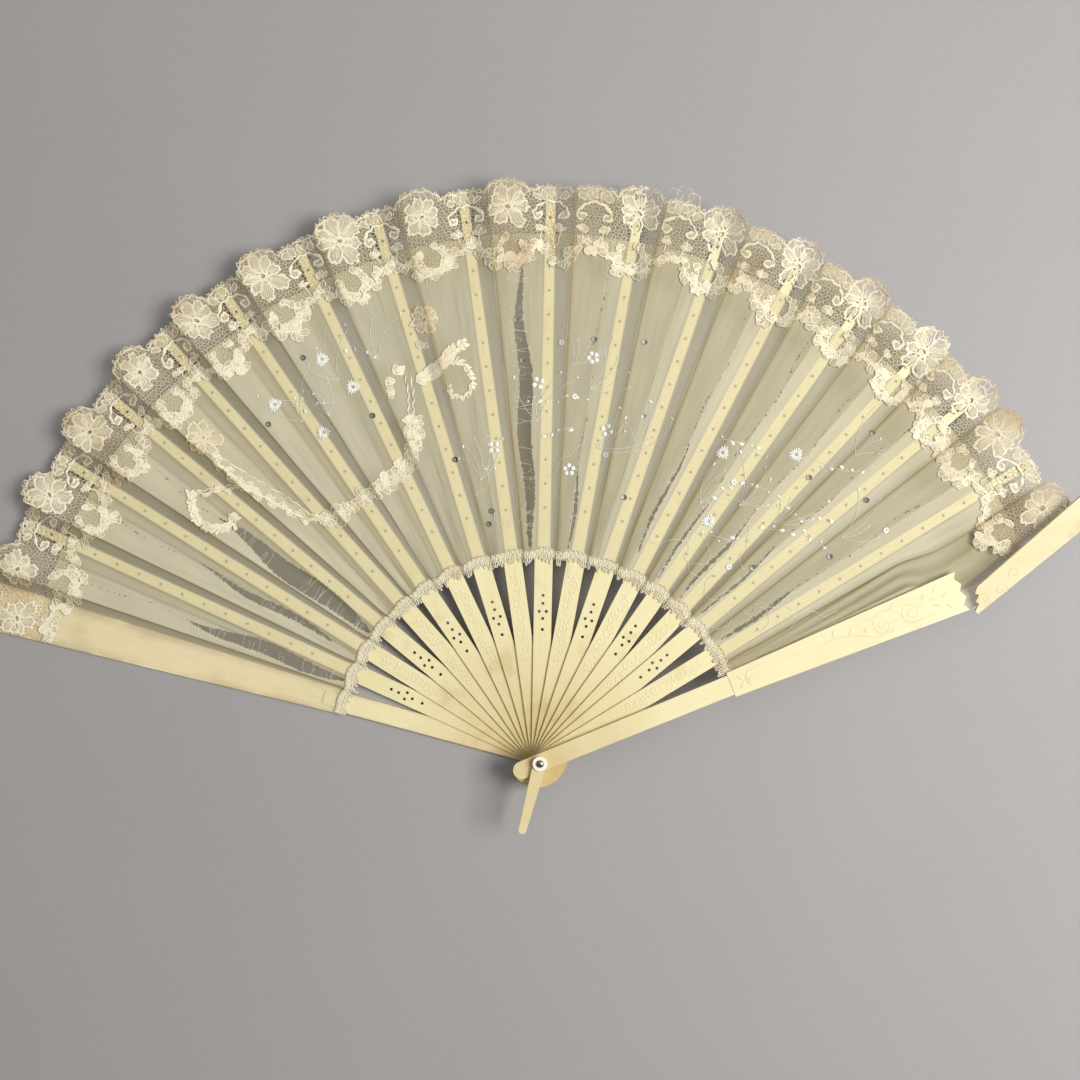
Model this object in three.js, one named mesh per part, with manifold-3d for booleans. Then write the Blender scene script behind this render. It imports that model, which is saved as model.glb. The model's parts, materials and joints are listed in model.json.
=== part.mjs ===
// Folding hand fan: bone sticks and guards on one pin, a pleated gauze leaf and a lace edge.
// Millimetres. The pin is the Z axis, the fan lies on z = 0 and spreads towards +Y.
import * as THREE from "three";
import { mergeVertices } from "three/addons/utils/BufferGeometryUtils.js";
import Module from "manifold-3d";

const wasm = await Module();
wasm.setup();

// Opening of the fan, in degrees: where the rear guard points, and the gap to each next stick
const REAR_GUARD_ANGLE = 164.1;
const GAPS = [9.1, 7.5, 8, 8.15, 7.65, 8.8, 8.45, 9.05, 8.85, 9.15, 8.7, 8.5, 7.7, 7.85, 6.85, 8.6, 9.3];

// Layers of the stack
const GUARD_T = 2;
const PANEL_T = 1.1;
const STICK_T = 0.75;
const RIB_T = 0.5;
const LAYER_GAP = 0.2;

// Sticks: a wide blade from the head to the leaf, then a slim rib under the leaf
const HEAD_REACH = 14;
const HEAD_W = 8.4;
const BLADE_W = 9;
const BLADE_END_R = 106;
const SHOULDER = 2.5;
const RIB_W = 6.2;
const RIB_TIP_W = 4.6;
const RIB_TIP_R = 282;

// Pierced holes along a blade: distance from the pin and offset to each side
const HOLE_R = 0.8;
const HOLE_PLACES = [[65, 0], [70.5, 0], [74, 1.75], [74, -1.75], [78, 0], [82, 0]];

// Guards: a blade, and a panel that laps over the blade's tongue
const GUARD_HEAD_W = 8.6;
const GUARD_W = 10;
const LAP_LENGTH = 11;
const LAP_BEFORE_RIB = 4.5;
const LAP_START_R = BLADE_END_R - LAP_BEFORE_RIB;
const LAP_END_R = LAP_START_R + LAP_LENGTH;
const LAP_CLEAR = 7.5;
const LAP_EASE = 25.5;
const PANEL_W = 12.6;
const PANEL_TIP_W = 25;
const PANEL_PAST_RIB = 18;
const PANEL_TIP_R = RIB_TIP_R + PANEL_PAST_RIB;
const PANEL_CORNER_R = 3;

// The front guard has snapped across: where, how ragged, and how its loose end lies
const BREAK_R = 223.5;
const BREAK_RAGGED = 1.4;
const BREAK_POINTS = 7;
const BREAK_GAP = 2.8;
const TIP_START_R = BREAK_R + BREAK_GAP;
const TIP_OFFSET = -7.1;
const TIP_TURN = 16.9;
const TIP_ROLL = 20;
const TIP_SLANT = 7.5;
const TIP_LENGTH = 75;
const TIP_W = 12.5;
const TIP_END_W = 15.5;

// Pin, its washers and the loop arm
const PIN_R = 1.2;
const BORE_R = 1.4;
const WASHER_R = 3.6;
const WASHER_T = 0.8;
const TAIL_R = 2;
const TAIL_T = 0.5;
const DOME_R = 1.9;
const DOME_H = 1.1;
const ARM_T = 1.6;
const ARM_EYE_R = 3.35;
const ARM_END_W = 3.8;
const ARM_LENGTH = 36;
const ARM_ANGLE = -105;

// Leaf: thin sheets over the ribs, with one ridge and one hollow between neighbours
const LEAF_T = 0.25;
const LEAF_OVERLAP = 6;
const LEAF_IN_R = BLADE_END_R - LEAF_OVERLAP;
const LACE_IN_WAVE = 5;
const LACE_PAST_RIB = 0;
const LACE_DEPTH = 33;
const LACE_OVERLAP = 11;
const LACE_OUT_R = RIB_TIP_R + LACE_PAST_RIB;
const LACE_IN_R = LACE_OUT_R - LACE_DEPTH;
const GAUZE_OUT_R = LACE_IN_R + LACE_OVERLAP;
const SCALLOP = 6;
const RISE_IN = 0.9;
const RISE_OUT = 5;
const HOLLOW_SHARE = 0.3;
const FOLD_SHARE = 0.45;
const SEAT_MARGIN = 0.5;
const LEAF_TUCK = 3;
const LEAF_SLIP = 25;
const GAUZE_STEPS = 6;
const LACE_STEPS = 2;
const LACE_SPLIT = 4;
const ROUND_SEGMENTS = 12;

const STICKS = GAPS.length - 1;
const FRONT = GAPS.length;
const rad = THREE.MathUtils.degToRad;
const lerp = THREE.MathUtils.lerp;

const angles = [REAR_GUARD_ANGLE];
for (const gap of GAPS) {
  angles.push(angles.at(-1) - gap);
}

// Undersides of the layers, from the rear guard up to the dome of the pin
const stickZ = (k) => GUARD_T + LAYER_GAP + (k - 1) * (STICK_T + LAYER_GAP);
const frontZ = stickZ(STICKS + 1);
const armZ = frontZ + GUARD_T + LAYER_GAP;
const washerZ = armZ + ARM_T + LAYER_GAP;
const domeZ = washerZ + WASHER_T + LAYER_GAP;
const frontPanelZ = frontZ + GUARD_T - PANEL_T;
const leafCeiling = frontPanelZ - 2 * (LEAF_T + LAYER_GAP);

const bone = new THREE.MeshStandardMaterial({ color: 0xece0b4, roughness: 0.45 });
const paleBone = new THREE.MeshStandardMaterial({ color: 0xf4e7ba, roughness: 0.4 });
const steel = new THREE.MeshStandardMaterial({ color: 0xb8b4aa, roughness: 0.3, metalness: 1 });
const gauze = new THREE.MeshStandardMaterial({ color: 0xc2bda6, roughness: 0.9 });
const lace = new THREE.MeshStandardMaterial({ color: 0xe8dcb8, roughness: 0.9 });

const fan = new THREE.Group();

function addMesh(name, geometry, material, parent = fan) {
  const mesh = new THREE.Mesh(geometry, material);
  mesh.name = name;
  parent.add(mesh);
  return mesh;
}

// Closed solids and their joins

function toSolid(geometry) {
  const bare = geometry.clone();
  bare.deleteAttribute("normal");
  bare.deleteAttribute("uv");
  const merged = mergeVertices(bare, 1e-4);
  const vertProperties = new Float32Array(merged.attributes.position.array);
  const triVerts = new Uint32Array(merged.index.array);
  return new wasm.Manifold(new wasm.Mesh({ numProp: 3, vertProperties, triVerts }));
}

function fromSolid(solid) {
  const mesh = solid.getMesh();
  const geometry = new THREE.BufferGeometry();
  geometry.setAttribute("position", new THREE.BufferAttribute(new Float32Array(mesh.vertProperties), 3));
  geometry.setIndex(new THREE.BufferAttribute(new Uint32Array(mesh.triVerts), 1));
  geometry.computeVertexNormals();
  return geometry;
}

function joined(first, second) {
  return fromSolid(toSolid(first).add(toSolid(second)));
}

function cut(first, second) {
  return fromSolid(toSolid(first).subtract(toSolid(second)));
}

function plate(shape, z0, z1, curveSegments = 5) {
  const options = { depth: z1 - z0, bevelEnabled: false, curveSegments };
  const geometry = new THREE.ExtrudeGeometry(shape, options);
  geometry.translate(0, 0, z0);
  return geometry;
}

function roundHole(shape, x, y, radius) {
  const hole = new THREE.Path();
  hole.absarc(x, y, radius, 0, 2 * Math.PI, true);
  shape.holes.push(hole);
}

function discShape(radius) {
  const shape = new THREE.Shape();
  shape.absarc(0, 0, radius, 0, 2 * Math.PI, false);
  return shape;
}

// Thin sheet from rows of points on its underside, closed all round
function sheet(rows, thickness) {
  const across = rows[0].length;
  const count = rows.length * across;
  const positions = [];
  for (const lift of [0, thickness]) {
    for (const point of rows.flat()) {
      positions.push(point.x, point.y, point.z + lift);
    }
  }
  const index = [];
  const quad = (a, b, c, d) => index.push(a, b, c, a, c, d);
  const under = (j, i) => j * across + i;
  const over = (j, i) => count + under(j, i);
  for (let j = 0; j + 1 < rows.length; j += 1) {
    for (let i = 0; i + 1 < across; i += 1) {
      quad(over(j, i), over(j, i + 1), over(j + 1, i + 1), over(j + 1, i));
      quad(under(j, i), under(j + 1, i), under(j + 1, i + 1), under(j, i + 1));
    }
    quad(under(j, 0), over(j, 0), over(j + 1, 0), under(j + 1, 0));
    quad(under(j + 1, across - 1), over(j + 1, across - 1), over(j, across - 1), under(j, across - 1));
  }
  const last = rows.length - 1;
  for (let i = 0; i + 1 < across; i += 1) {
    quad(under(0, i + 1), over(0, i + 1), over(0, i), under(0, i));
    quad(under(last, i), over(last, i), over(last, i + 1), under(last, i + 1));
  }
  const geometry = new THREE.BufferGeometry();
  geometry.setAttribute("position", new THREE.Float32BufferAttribute(positions, 3));
  geometry.setIndex(index);
  geometry.computeVertexNormals();
  return geometry;
}

// Outlines: each lies along +X, with the pin at the origin

function headedShape(headWidth, endWidth, endR) {
  const headR = headWidth / 2;
  const shape = new THREE.Shape();
  shape.moveTo(endR, -endWidth / 2);
  shape.lineTo(endR, endWidth / 2);
  shape.lineTo(headR - HEAD_REACH, headR);
  shape.absarc(headR - HEAD_REACH, 0, headR, Math.PI / 2, 1.5 * Math.PI, false);
  shape.lineTo(endR, -endWidth / 2);
  roundHole(shape, 0, 0, BORE_R);
  return shape;
}

const ribHalf = (r) => lerp(RIB_W, RIB_TIP_W, (r - BLADE_END_R) / (RIB_TIP_R - BLADE_END_R)) / 2;
const panelHalf = (r) => lerp(PANEL_W, PANEL_TIP_W, (r - LAP_START_R) / (PANEL_TIP_R - LAP_START_R)) / 2;

function bladeShape(pierced) {
  const shape = headedShape(HEAD_W, BLADE_W, BLADE_END_R - SHOULDER);
  if (pierced) {
    for (const [x, y] of HOLE_PLACES) {
      roundHole(shape, x, y, HOLE_R);
    }
  }
  return shape;
}

function ribShape() {
  const startR = BLADE_END_R - 3 * SHOULDER;
  const roundR = RIB_TIP_W / 2;
  const shape = new THREE.Shape();
  shape.moveTo(startR, -ribHalf(startR));
  shape.lineTo(BLADE_END_R - SHOULDER, -BLADE_W / 2 + LAYER_GAP);
  shape.lineTo(BLADE_END_R, -ribHalf(BLADE_END_R));
  shape.lineTo(RIB_TIP_R - roundR, -roundR);
  shape.absarc(RIB_TIP_R - roundR, 0, roundR, -Math.PI / 2, Math.PI / 2, false);
  shape.lineTo(BLADE_END_R, ribHalf(BLADE_END_R));
  shape.lineTo(BLADE_END_R - SHOULDER, BLADE_W / 2 - LAYER_GAP);
  shape.lineTo(startR, ribHalf(startR));
  return shape;
}

function panelShape(startR, endR) {
  const shape = new THREE.Shape();
  shape.moveTo(startR, -panelHalf(startR));
  shape.lineTo(endR - PANEL_CORNER_R, -panelHalf(endR));
  shape.quadraticCurveTo(endR, -panelHalf(endR), endR, PANEL_CORNER_R - panelHalf(endR));
  shape.lineTo(endR, panelHalf(endR) - PANEL_CORNER_R);
  shape.quadraticCurveTo(endR, panelHalf(endR), endR - PANEL_CORNER_R, panelHalf(endR));
  shape.lineTo(startR, panelHalf(startR));
  return shape;
}

// Zigzag across a strip of bone, as points from its right edge to its left edge, which lies further out by the slant
function raggedEdge(x, half, slant) {
  const points = [];
  for (let i = 0; i < BREAK_POINTS; i += 1) {
    const tooth = (i % 2 === 0 ? 1 : -1) * BREAK_RAGGED * (0.4 + 0.6 * Math.sin(2.1 * i) ** 2);
    const across = i / (BREAK_POINTS - 1);
    points.push([x + tooth + slant * across, lerp(-half, half, across)]);
  }
  return points;
}

function brokenPanelShape(startR) {
  const shape = new THREE.Shape();
  shape.moveTo(startR, -panelHalf(startR));
  for (const [x, y] of raggedEdge(BREAK_R, panelHalf(BREAK_R), 0)) {
    shape.lineTo(x, y);
  }
  shape.lineTo(startR, panelHalf(startR));
  return shape;
}

function looseTipShape() {
  const shape = new THREE.Shape();
  shape.moveTo(TIP_LENGTH, TIP_END_W);
  for (const [x, y] of raggedEdge(0, TIP_W / 2, TIP_SLANT).reverse()) {
    shape.lineTo(x, y + TIP_W / 2);
  }
  shape.lineTo(TIP_LENGTH - PANEL_CORNER_R, 0);
  shape.quadraticCurveTo(TIP_LENGTH, 0, TIP_LENGTH, PANEL_CORNER_R);
  shape.lineTo(TIP_LENGTH, TIP_END_W);
  return shape;
}

// Sticks: odd ones are pierced

for (let k = 1; k <= STICKS; k += 1) {
  const blade = plate(bladeShape(k % 2 === 1), 0, STICK_T);
  const rib = plate(ribShape(), STICK_T - RIB_T, STICK_T);
  const stick = addMesh(`stick_${String(k).padStart(2, "0")}`, joined(blade, rib), bone);
  stick.position.z = stickZ(k);
  stick.rotation.z = rad(angles[k]);
}

// Guards: the outer face of each panel is flush with its blade, and the tongue lies on the inner side

function guard(side, angle, z, outerIsUp, panel) {
  const group = new THREE.Group();
  group.position.z = z;
  group.rotation.z = rad(angle);
  fan.add(group);
  const tongueT = GUARD_T - PANEL_T - LAYER_GAP;
  const tongueZ = outerIsUp ? 0 : GUARD_T - tongueT;
  const panelZ = outerIsUp ? GUARD_T - PANEL_T : 0;
  const tongue = new THREE.Shape();
  tongue.moveTo(LAP_START_R - SHOULDER, -RIB_W / 2);
  tongue.lineTo(LAP_END_R, -RIB_W / 2);
  tongue.lineTo(LAP_END_R, RIB_W / 2);
  tongue.lineTo(LAP_START_R - SHOULDER, RIB_W / 2);
  const body = plate(headedShape(GUARD_HEAD_W, GUARD_W, LAP_START_R - LAYER_GAP), 0, GUARD_T);
  let blade = joined(body, plate(tongue, tongueZ, tongueZ + tongueT));
  if (!outerIsUp) {
    blade = cut(blade, plate(discShape(TAIL_R + LAYER_GAP), -LAYER_GAP, TAIL_T + LAYER_GAP));
  }
  addMesh(`${side}_guard_blade`, blade, paleBone, group);
  addMesh(`${side}_guard_panel`, plate(panel, panelZ, panelZ + PANEL_T), paleBone, group);
  return group;
}

guard("rear", angles[0], 0, false, panelShape(LAP_START_R, PANEL_TIP_R));
const frontGuard = guard("front", angles[FRONT], frontZ, true, brokenPanelShape(LAP_START_R));

const tipSeat = new THREE.Group();
tipSeat.position.set(TIP_START_R, TIP_OFFSET - TIP_W / 2, GUARD_T - PANEL_T + LAYER_GAP);
tipSeat.rotation.z = rad(TIP_TURN);
frontGuard.add(tipSeat);
const tip = addMesh("front_guard_tip", plate(looseTipShape(), 0, PANEL_T), paleBone, tipSeat);
tip.rotation.x = rad(TIP_ROLL);

// Pin: its flat tail sits flush in a recess in the back of the rear guard

const pinProfile = [[0, 0], [TAIL_R, 0], [TAIL_R, TAIL_T], [PIN_R, TAIL_T], [PIN_R, domeZ], [DOME_R, domeZ]];
for (let i = 1; i <= 5; i += 1) {
  const turn = (i / 5) * (Math.PI / 2);
  pinProfile.push([i === 5 ? 0 : DOME_R * Math.cos(turn), domeZ + DOME_H * Math.sin(turn)]);
}
const pin = new THREE.LatheGeometry(pinProfile.map(([r, z]) => new THREE.Vector2(r, z)), 20);
pin.rotateX(Math.PI / 2);
addMesh("rivet_pin", pin, steel);

const washerShape = discShape(WASHER_R);
roundHole(washerShape, 0, 0, BORE_R);
addMesh("front_washer", plate(washerShape, washerZ, washerZ + WASHER_T, ROUND_SEGMENTS), paleBone);

// Loop arm: an eye on the pin and a tapering arm with a round end

const armShape = new THREE.Shape();
armShape.moveTo(0, -ARM_EYE_R);
const armEndX = ARM_LENGTH - ARM_END_W / 2;
armShape.lineTo(armEndX, -ARM_END_W / 2);
armShape.absarc(armEndX, 0, ARM_END_W / 2, -Math.PI / 2, Math.PI / 2, false);
armShape.lineTo(0, ARM_EYE_R);
armShape.absarc(0, 0, ARM_EYE_R, Math.PI / 2, 1.5 * Math.PI, false);
roundHole(armShape, 0, 0, BORE_R);
const arm = addMesh("loop_arm", plate(armShape, 0, ARM_T, ROUND_SEGMENTS), paleBone);
arm.position.z = armZ;
arm.rotation.z = rad(ARM_ANGLE);

// Leaf: gore k hangs between neighbour k - 1 on its left and neighbour k on its right

function seatZ(k, r) {
  if (k === 0) {
    const pastLap = THREE.MathUtils.smoothstep(r, LAP_END_R + LAP_CLEAR, LAP_END_R + LAP_EASE);
    return lerp(GUARD_T, PANEL_T, pastLap) + LAYER_GAP;
  }
  return k === FRONT ? leafCeiling : stickZ(k) + STICK_T + LAYER_GAP;
}

function seatHalf(k, r) {
  if (k === 0) {
    return panelHalf(Math.max(r, LAP_START_R)) - SEAT_MARGIN;
  }
  if (k === FRONT && r < LAP_END_R + LAP_CLEAR) {
    return GUARD_W / 2 + SEAT_MARGIN;
  }
  if (k === FRONT) {
    const tipEdge = TIP_OFFSET - TIP_W / 2 + (r - TIP_START_R) * Math.tan(rad(TIP_TURN)) + SEAT_MARGIN;
    const underTip = Math.max(tipEdge, SEAT_MARGIN - panelHalf(BREAK_R));
    const slipped = THREE.MathUtils.smoothstep(r, BREAK_R - LEAF_SLIP, BREAK_R);
    return lerp(panelHalf(Math.min(r, BREAK_R)) - LEAF_TUCK, underTip, slipped);
  }
  return (r < BLADE_END_R ? BLADE_W / 2 : ribHalf(r)) + SEAT_MARGIN;
}

// Section of gore k at radius r: angle and height of each corner, from left to right
function section(k, r) {
  const left = Math.asin(seatHalf(k - 1, r) / r);
  const right = Math.asin(seatHalf(k, r) / r);
  const start = rad(angles[k - 1]);
  const end = rad(angles[k]);
  const open = start - left - (end + right);
  const run = (FOLD_SHARE / 2) * open;
  const rise = lerp(RISE_IN, RISE_OUT, (r - LEAF_IN_R) / (LACE_OUT_R - LEAF_IN_R));
  const z0 = seatZ(k - 1, r);
  const z1 = seatZ(k, r);
  const ridge = Math.max(Math.min(z0 + rise, leafCeiling), z0);
  const hollow = Math.max(Math.min(z1 + HOLLOW_SHARE * rise, leafCeiling), z1);
  const corners = [[start - left, z0], [start - left - run, ridge], [end + right + run, hollow], [end + right, z1]];
  const gap = LAYER_GAP / r;
  corners.unshift([k === 1 ? start + left : start - gap, z0]);
  if (k < FRONT) {
    corners.push([end + gap, z1]);
  }
  return corners;
}

const polar = (r, angle, z) => new THREE.Vector3(r * Math.cos(angle), r * Math.sin(angle), z);

function gauzeRows(k) {
  const rows = [];
  for (let j = 0; j <= GAUZE_STEPS; j += 1) {
    const r = lerp(LEAF_IN_R, GAUZE_OUT_R, j / GAUZE_STEPS);
    rows.push(section(k, r).map(([angle, z]) => polar(r, angle, z)));
  }
  return rows;
}

// Lace: the same folds split finer, with scalloped outer and inner edges
function laceRows(k) {
  const rows = [];
  for (let j = 0; j <= LACE_STEPS; j += 1) {
    const row = [];
    const corners = section(k, lerp(LACE_IN_R, LACE_OUT_R, j / LACE_STEPS));
    for (let c = 0; c + 1 < corners.length; c += 1) {
      const free = c === 2;
      for (let i = 0; i < LACE_SPLIT; i += 1) {
        const t = i / LACE_SPLIT;
        const lobe = free ? Math.sin(Math.PI * t) : 0.3;
        const inner = LACE_IN_R - LACE_IN_WAVE * lobe;
        const outer = LACE_OUT_R + SCALLOP * Math.sqrt(lobe);
        const r = lerp(inner, outer, j / LACE_STEPS);
        const angle = lerp(corners[c][0], corners[c + 1][0], t);
        const z = lerp(corners[c][1], corners[c + 1][1], t) + LEAF_T + LAYER_GAP;
        row.push(polar(r, angle, z));
      }
    }
    const [angle, z] = corners.at(-1);
    row.push(polar(lerp(LACE_IN_R, LACE_OUT_R, j / LACE_STEPS), angle, z + LEAF_T + LAYER_GAP));
    rows.push(row);
  }
  return rows;
}

for (let k = 1; k <= FRONT; k += 1) {
  const number = String(k).padStart(2, "0");
  addMesh(`gauze_${number}`, sheet(gauzeRows(k), LEAF_T), gauze);
  addMesh(`lace_${number}`, sheet(laceRows(k), LEAF_T), lace);
}

export default fan;
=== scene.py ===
# Folding hand fan: bone sticks on a rivet, a pleated gauze leaf with lace, braid, applique and embroidery.
import json
import math
import random

import bpy
import numpy as np
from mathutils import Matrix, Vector

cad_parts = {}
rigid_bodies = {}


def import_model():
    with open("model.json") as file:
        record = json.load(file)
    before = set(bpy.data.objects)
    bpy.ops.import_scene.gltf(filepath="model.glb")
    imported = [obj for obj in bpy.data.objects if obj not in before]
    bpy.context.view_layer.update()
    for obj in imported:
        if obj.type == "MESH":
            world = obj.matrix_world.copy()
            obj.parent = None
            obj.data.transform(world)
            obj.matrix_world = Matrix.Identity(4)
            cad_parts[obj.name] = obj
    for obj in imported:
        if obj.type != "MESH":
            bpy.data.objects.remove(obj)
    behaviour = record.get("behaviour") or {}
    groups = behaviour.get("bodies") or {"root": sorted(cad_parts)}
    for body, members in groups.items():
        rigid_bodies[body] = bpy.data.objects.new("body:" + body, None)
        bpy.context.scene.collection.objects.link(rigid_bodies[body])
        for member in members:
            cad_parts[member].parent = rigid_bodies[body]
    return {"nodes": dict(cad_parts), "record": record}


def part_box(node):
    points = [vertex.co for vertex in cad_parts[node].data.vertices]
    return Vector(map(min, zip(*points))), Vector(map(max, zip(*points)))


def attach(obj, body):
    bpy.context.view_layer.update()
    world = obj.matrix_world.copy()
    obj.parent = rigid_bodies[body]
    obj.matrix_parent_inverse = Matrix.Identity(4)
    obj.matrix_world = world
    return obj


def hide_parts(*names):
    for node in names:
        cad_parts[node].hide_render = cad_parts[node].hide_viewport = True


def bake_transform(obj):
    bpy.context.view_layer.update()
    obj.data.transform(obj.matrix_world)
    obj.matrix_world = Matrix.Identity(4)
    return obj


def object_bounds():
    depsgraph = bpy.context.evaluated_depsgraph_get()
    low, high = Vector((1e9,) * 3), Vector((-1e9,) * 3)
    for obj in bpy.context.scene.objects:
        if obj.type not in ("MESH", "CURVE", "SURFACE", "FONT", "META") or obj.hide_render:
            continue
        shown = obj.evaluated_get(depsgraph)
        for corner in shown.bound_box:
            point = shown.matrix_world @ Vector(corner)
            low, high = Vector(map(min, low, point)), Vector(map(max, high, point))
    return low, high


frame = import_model()
cad_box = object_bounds()
chance = random.Random(11)

MM = 0.001

# Opening of the fan: the rear guard's angle, then one fold joint for each neighbour
REAR_GUARD_ANGLE = 164.1
folds = [j for j in frame["record"]["behaviour"]["joints"] if j["name"].startswith("fold_")]
BODIES = [folds[0]["parent"]] + [j["child"] for j in folds]
ANGLES = [math.radians(REAR_GUARD_ANGLE)]
for joint in folds:
    ANGLES.append(ANGLES[-1] - math.radians(joint["range_deg"][1]))
FRONT = len(folds)
STICKS = range(1, FRONT)
GORES = range(1, FRONT + 1)

# Sizes of the solids, in millimetres
LAYER_GAP = 0.2
SEAT_MARGIN = 0.5
BLADE_HALF = 4.5
BLADE_END_R = 106
RIB_HALF = 3.1
RIB_TIP_HALF = 2.3
RIB_TIP_R = 282
GUARD_HALF = 5
PANEL_START_R = 101.5
PANEL_HALF = 6.3
PANEL_TIP_HALF = 12.5
PANEL_TIP_R = 300
LAP_CLEAR_R = 120
LAP_EASE_R = 138
BREAK_R = 223.5
TIP_START_R = 226.3
TIP_EDGE = -13.35
TIP_TURN = math.radians(16.9)
LEAF_T = 0.25
LEAF_IN_R = 100
GAUZE_OUT_R = 260
LACE_OUT_R = 282
RISE_IN = 0.9
RISE_OUT = 5
HOLLOW_SHARE = 0.3
FOLD_SHARE = 0.45
LEAF_TUCK = 3
LEAF_SLIP = 25

# Layers of thread work above the underside of the gauze
GAUZE_LIFT = 0.12
TRIM_LIFT = 0.32
LACE_LIFT = 0.5


# Shape of the leaf

def mix(a, b, t):
    return a + (b - a) * t


def smoothstep(x, low, high):
    t = np.clip((x - low) / (high - low), 0, 1)
    return t * t * (3 - 2 * t)


def top_of(node):
    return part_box(node)[1][2] / MM


CEILING = top_of("gauze_%02d" % FRONT) - LEAF_T
SEATS = [top_of("rear_guard_blade") + LAYER_GAP]
SEATS += [top_of("stick_%02d" % k) + LAYER_GAP for k in STICKS]
SEATS.append(CEILING)
PANEL_SEAT = top_of("rear_guard_panel") + LAYER_GAP


def rib_half(r):
    slim = mix(RIB_HALF, RIB_TIP_HALF, (r - BLADE_END_R) / (RIB_TIP_R - BLADE_END_R))
    return np.where(r < BLADE_END_R, BLADE_HALF, slim)


def panel_half(r):
    t = (np.maximum(r, PANEL_START_R) - PANEL_START_R) / (PANEL_TIP_R - PANEL_START_R)
    return mix(PANEL_HALF, PANEL_TIP_HALF, t)


def seat_half(k, r):
    """Distance from neighbour k's axis at which the leaf leaves it."""
    if k == 0:
        return panel_half(r) - SEAT_MARGIN
    if k < FRONT:
        return rib_half(r) + SEAT_MARGIN
    tip_edge = TIP_EDGE + (r - TIP_START_R) * math.tan(TIP_TURN) + SEAT_MARGIN
    under_tip = np.maximum(tip_edge, SEAT_MARGIN - panel_half(np.array(BREAK_R)))
    tucked = panel_half(np.minimum(r, BREAK_R)) - LEAF_TUCK
    slipped = mix(tucked, under_tip, smoothstep(r, BREAK_R - LEAF_SLIP, BREAK_R))
    return np.where(r < LAP_CLEAR_R, GUARD_HALF + SEAT_MARGIN, slipped)


def corners(k, r):
    """Angles of the four folds of gore k at radius r, from left to right, and their heights."""
    left = ANGLES[k - 1] - np.arcsin(seat_half(k - 1, r) / r)
    right = ANGLES[k] + np.arcsin(seat_half(k, r) / r)
    run = FOLD_SHARE / 2 * (left - right)
    rise = mix(RISE_IN, RISE_OUT, (r - LEAF_IN_R) / (LACE_OUT_R - LEAF_IN_R))
    z0 = SEATS[k - 1] + 0 * r
    if k == 1:
        z0 = mix(SEATS[0], PANEL_SEAT, smoothstep(r, LAP_CLEAR_R, LAP_EASE_R))
    z1 = SEATS[k] + 0 * r
    ridge = np.maximum(np.minimum(z0 + rise, CEILING), z0)
    hollow = np.maximum(np.minimum(z1 + HOLLOW_SHARE * rise, CEILING), z1)
    return (left, left - run, right + run, right), (z0, ridge, hollow, z1)


def gore_height(k, r, angle):
    turns, heights = corners(k, r)
    z = heights[0]
    for i in range(3):
        t = np.clip((turns[i] - angle) / (turns[i] - turns[i + 1]), 0, 1)
        z = np.where(angle < turns[i], mix(heights[i], heights[i + 1], t), z)
    return z


def painted_fold_shade(k, r, angle):
    """How dark the painted pleat shade makes gore k at a place; below zero it is painted light, the cloth
    thicker and paler.

    The left gores have painted shade in strips right of the ribs, the right gores painted shade along
    crease lines and painted light in strips left of the ribs.
    """
    turns = corners(k, r)[0]
    east = smoothstep(k, 4, 9)
    far_east = smoothstep(k, 10, 13)

    def crease(turn, width):
        return np.exp(-((angle - turn) * r / width) ** 2)

    rising, free, falling = [(angle < turns[i]) & (angle >= turns[i + 1]) for i in range(3)]
    climb, across = [(turns[i] - angle) / (turns[i] - turns[i + 1]) for i in range(2)]
    strip = mix(0.35 + 0.35 * climb ** 2, 0.2 * climb ** 2 - 0.45, east)
    face = mix(-0.4, 0.4 - 0.28 * across, east)
    last = mix(mix(0.2, -0.05, east), -0.4, far_east)
    # Painted shade along the crease lines
    painted_crease_shade = mix(0.4, 0.6, east) * crease(turns[1], mix(0.6, 1.3, east))
    painted_crease_shade += mix(0.5, 0, east) * crease(turns[2], 0.8) + mix(0.3, 0, far_east) * crease(turns[3], 0.8)
    return np.clip(strip * rising + face * free + last * falling + painted_crease_shade, -1, 1)


def leaf_bounds(r):
    """Angles of the leaf's left and right ends."""
    return [ANGLES[k] + np.arcsin(seat_half(k, r) / r) for k in (0, FRONT)]


def leaf_height(x, y):
    """Height of the cloth over any point of the leaf, in millimetres."""
    r = np.hypot(x, y)
    angle = np.arctan2(y, x)
    z = np.zeros(len(x))
    for k in GORES:
        left = ANGLES[k - 1] if k > 1 else math.pi
        right = ANGLES[k] if k < FRONT else -math.pi
        inside = (angle <= left) & (angle > right)
        if inside.any():
            z[inside] = gore_height(k, r[inside], angle[inside])
    return z


def gore_at(degrees):
    return next((k for k in GORES if math.radians(degrees) > ANGLES[k]), FRONT)


# Building meshes

CORD_CROWN = 0.3
CORD_LIFT = 0.12


def new_object(name, verts, faces, materials, slots=None):
    """Smooth mesh object from points in millimetres; slots gives each face its material."""
    mesh = bpy.data.meshes.new(name)
    mesh.from_pydata((np.asarray(verts, float) * MM).tolist(), [], faces)
    for material in materials:
        mesh.materials.append(material)
    if slots is not None:
        mesh.polygons.foreach_set("material_index", np.asarray(slots, dtype=np.int32))
    mesh.polygons.foreach_set("use_smooth", np.ones(len(faces), dtype=bool))
    mesh.update()
    obj = bpy.data.objects.new(name, mesh)
    bpy.context.scene.collection.objects.link(obj)
    return obj


def point_values(obj, name, values):
    layer = obj.data.attributes.new(name, "FLOAT", "POINT")
    layer.data.foreach_set("value", values.astype(np.float32))


def bend_with_gore(obj, k):
    """Bakes the piece's place into its mesh; k is not used."""
    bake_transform(obj)


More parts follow.
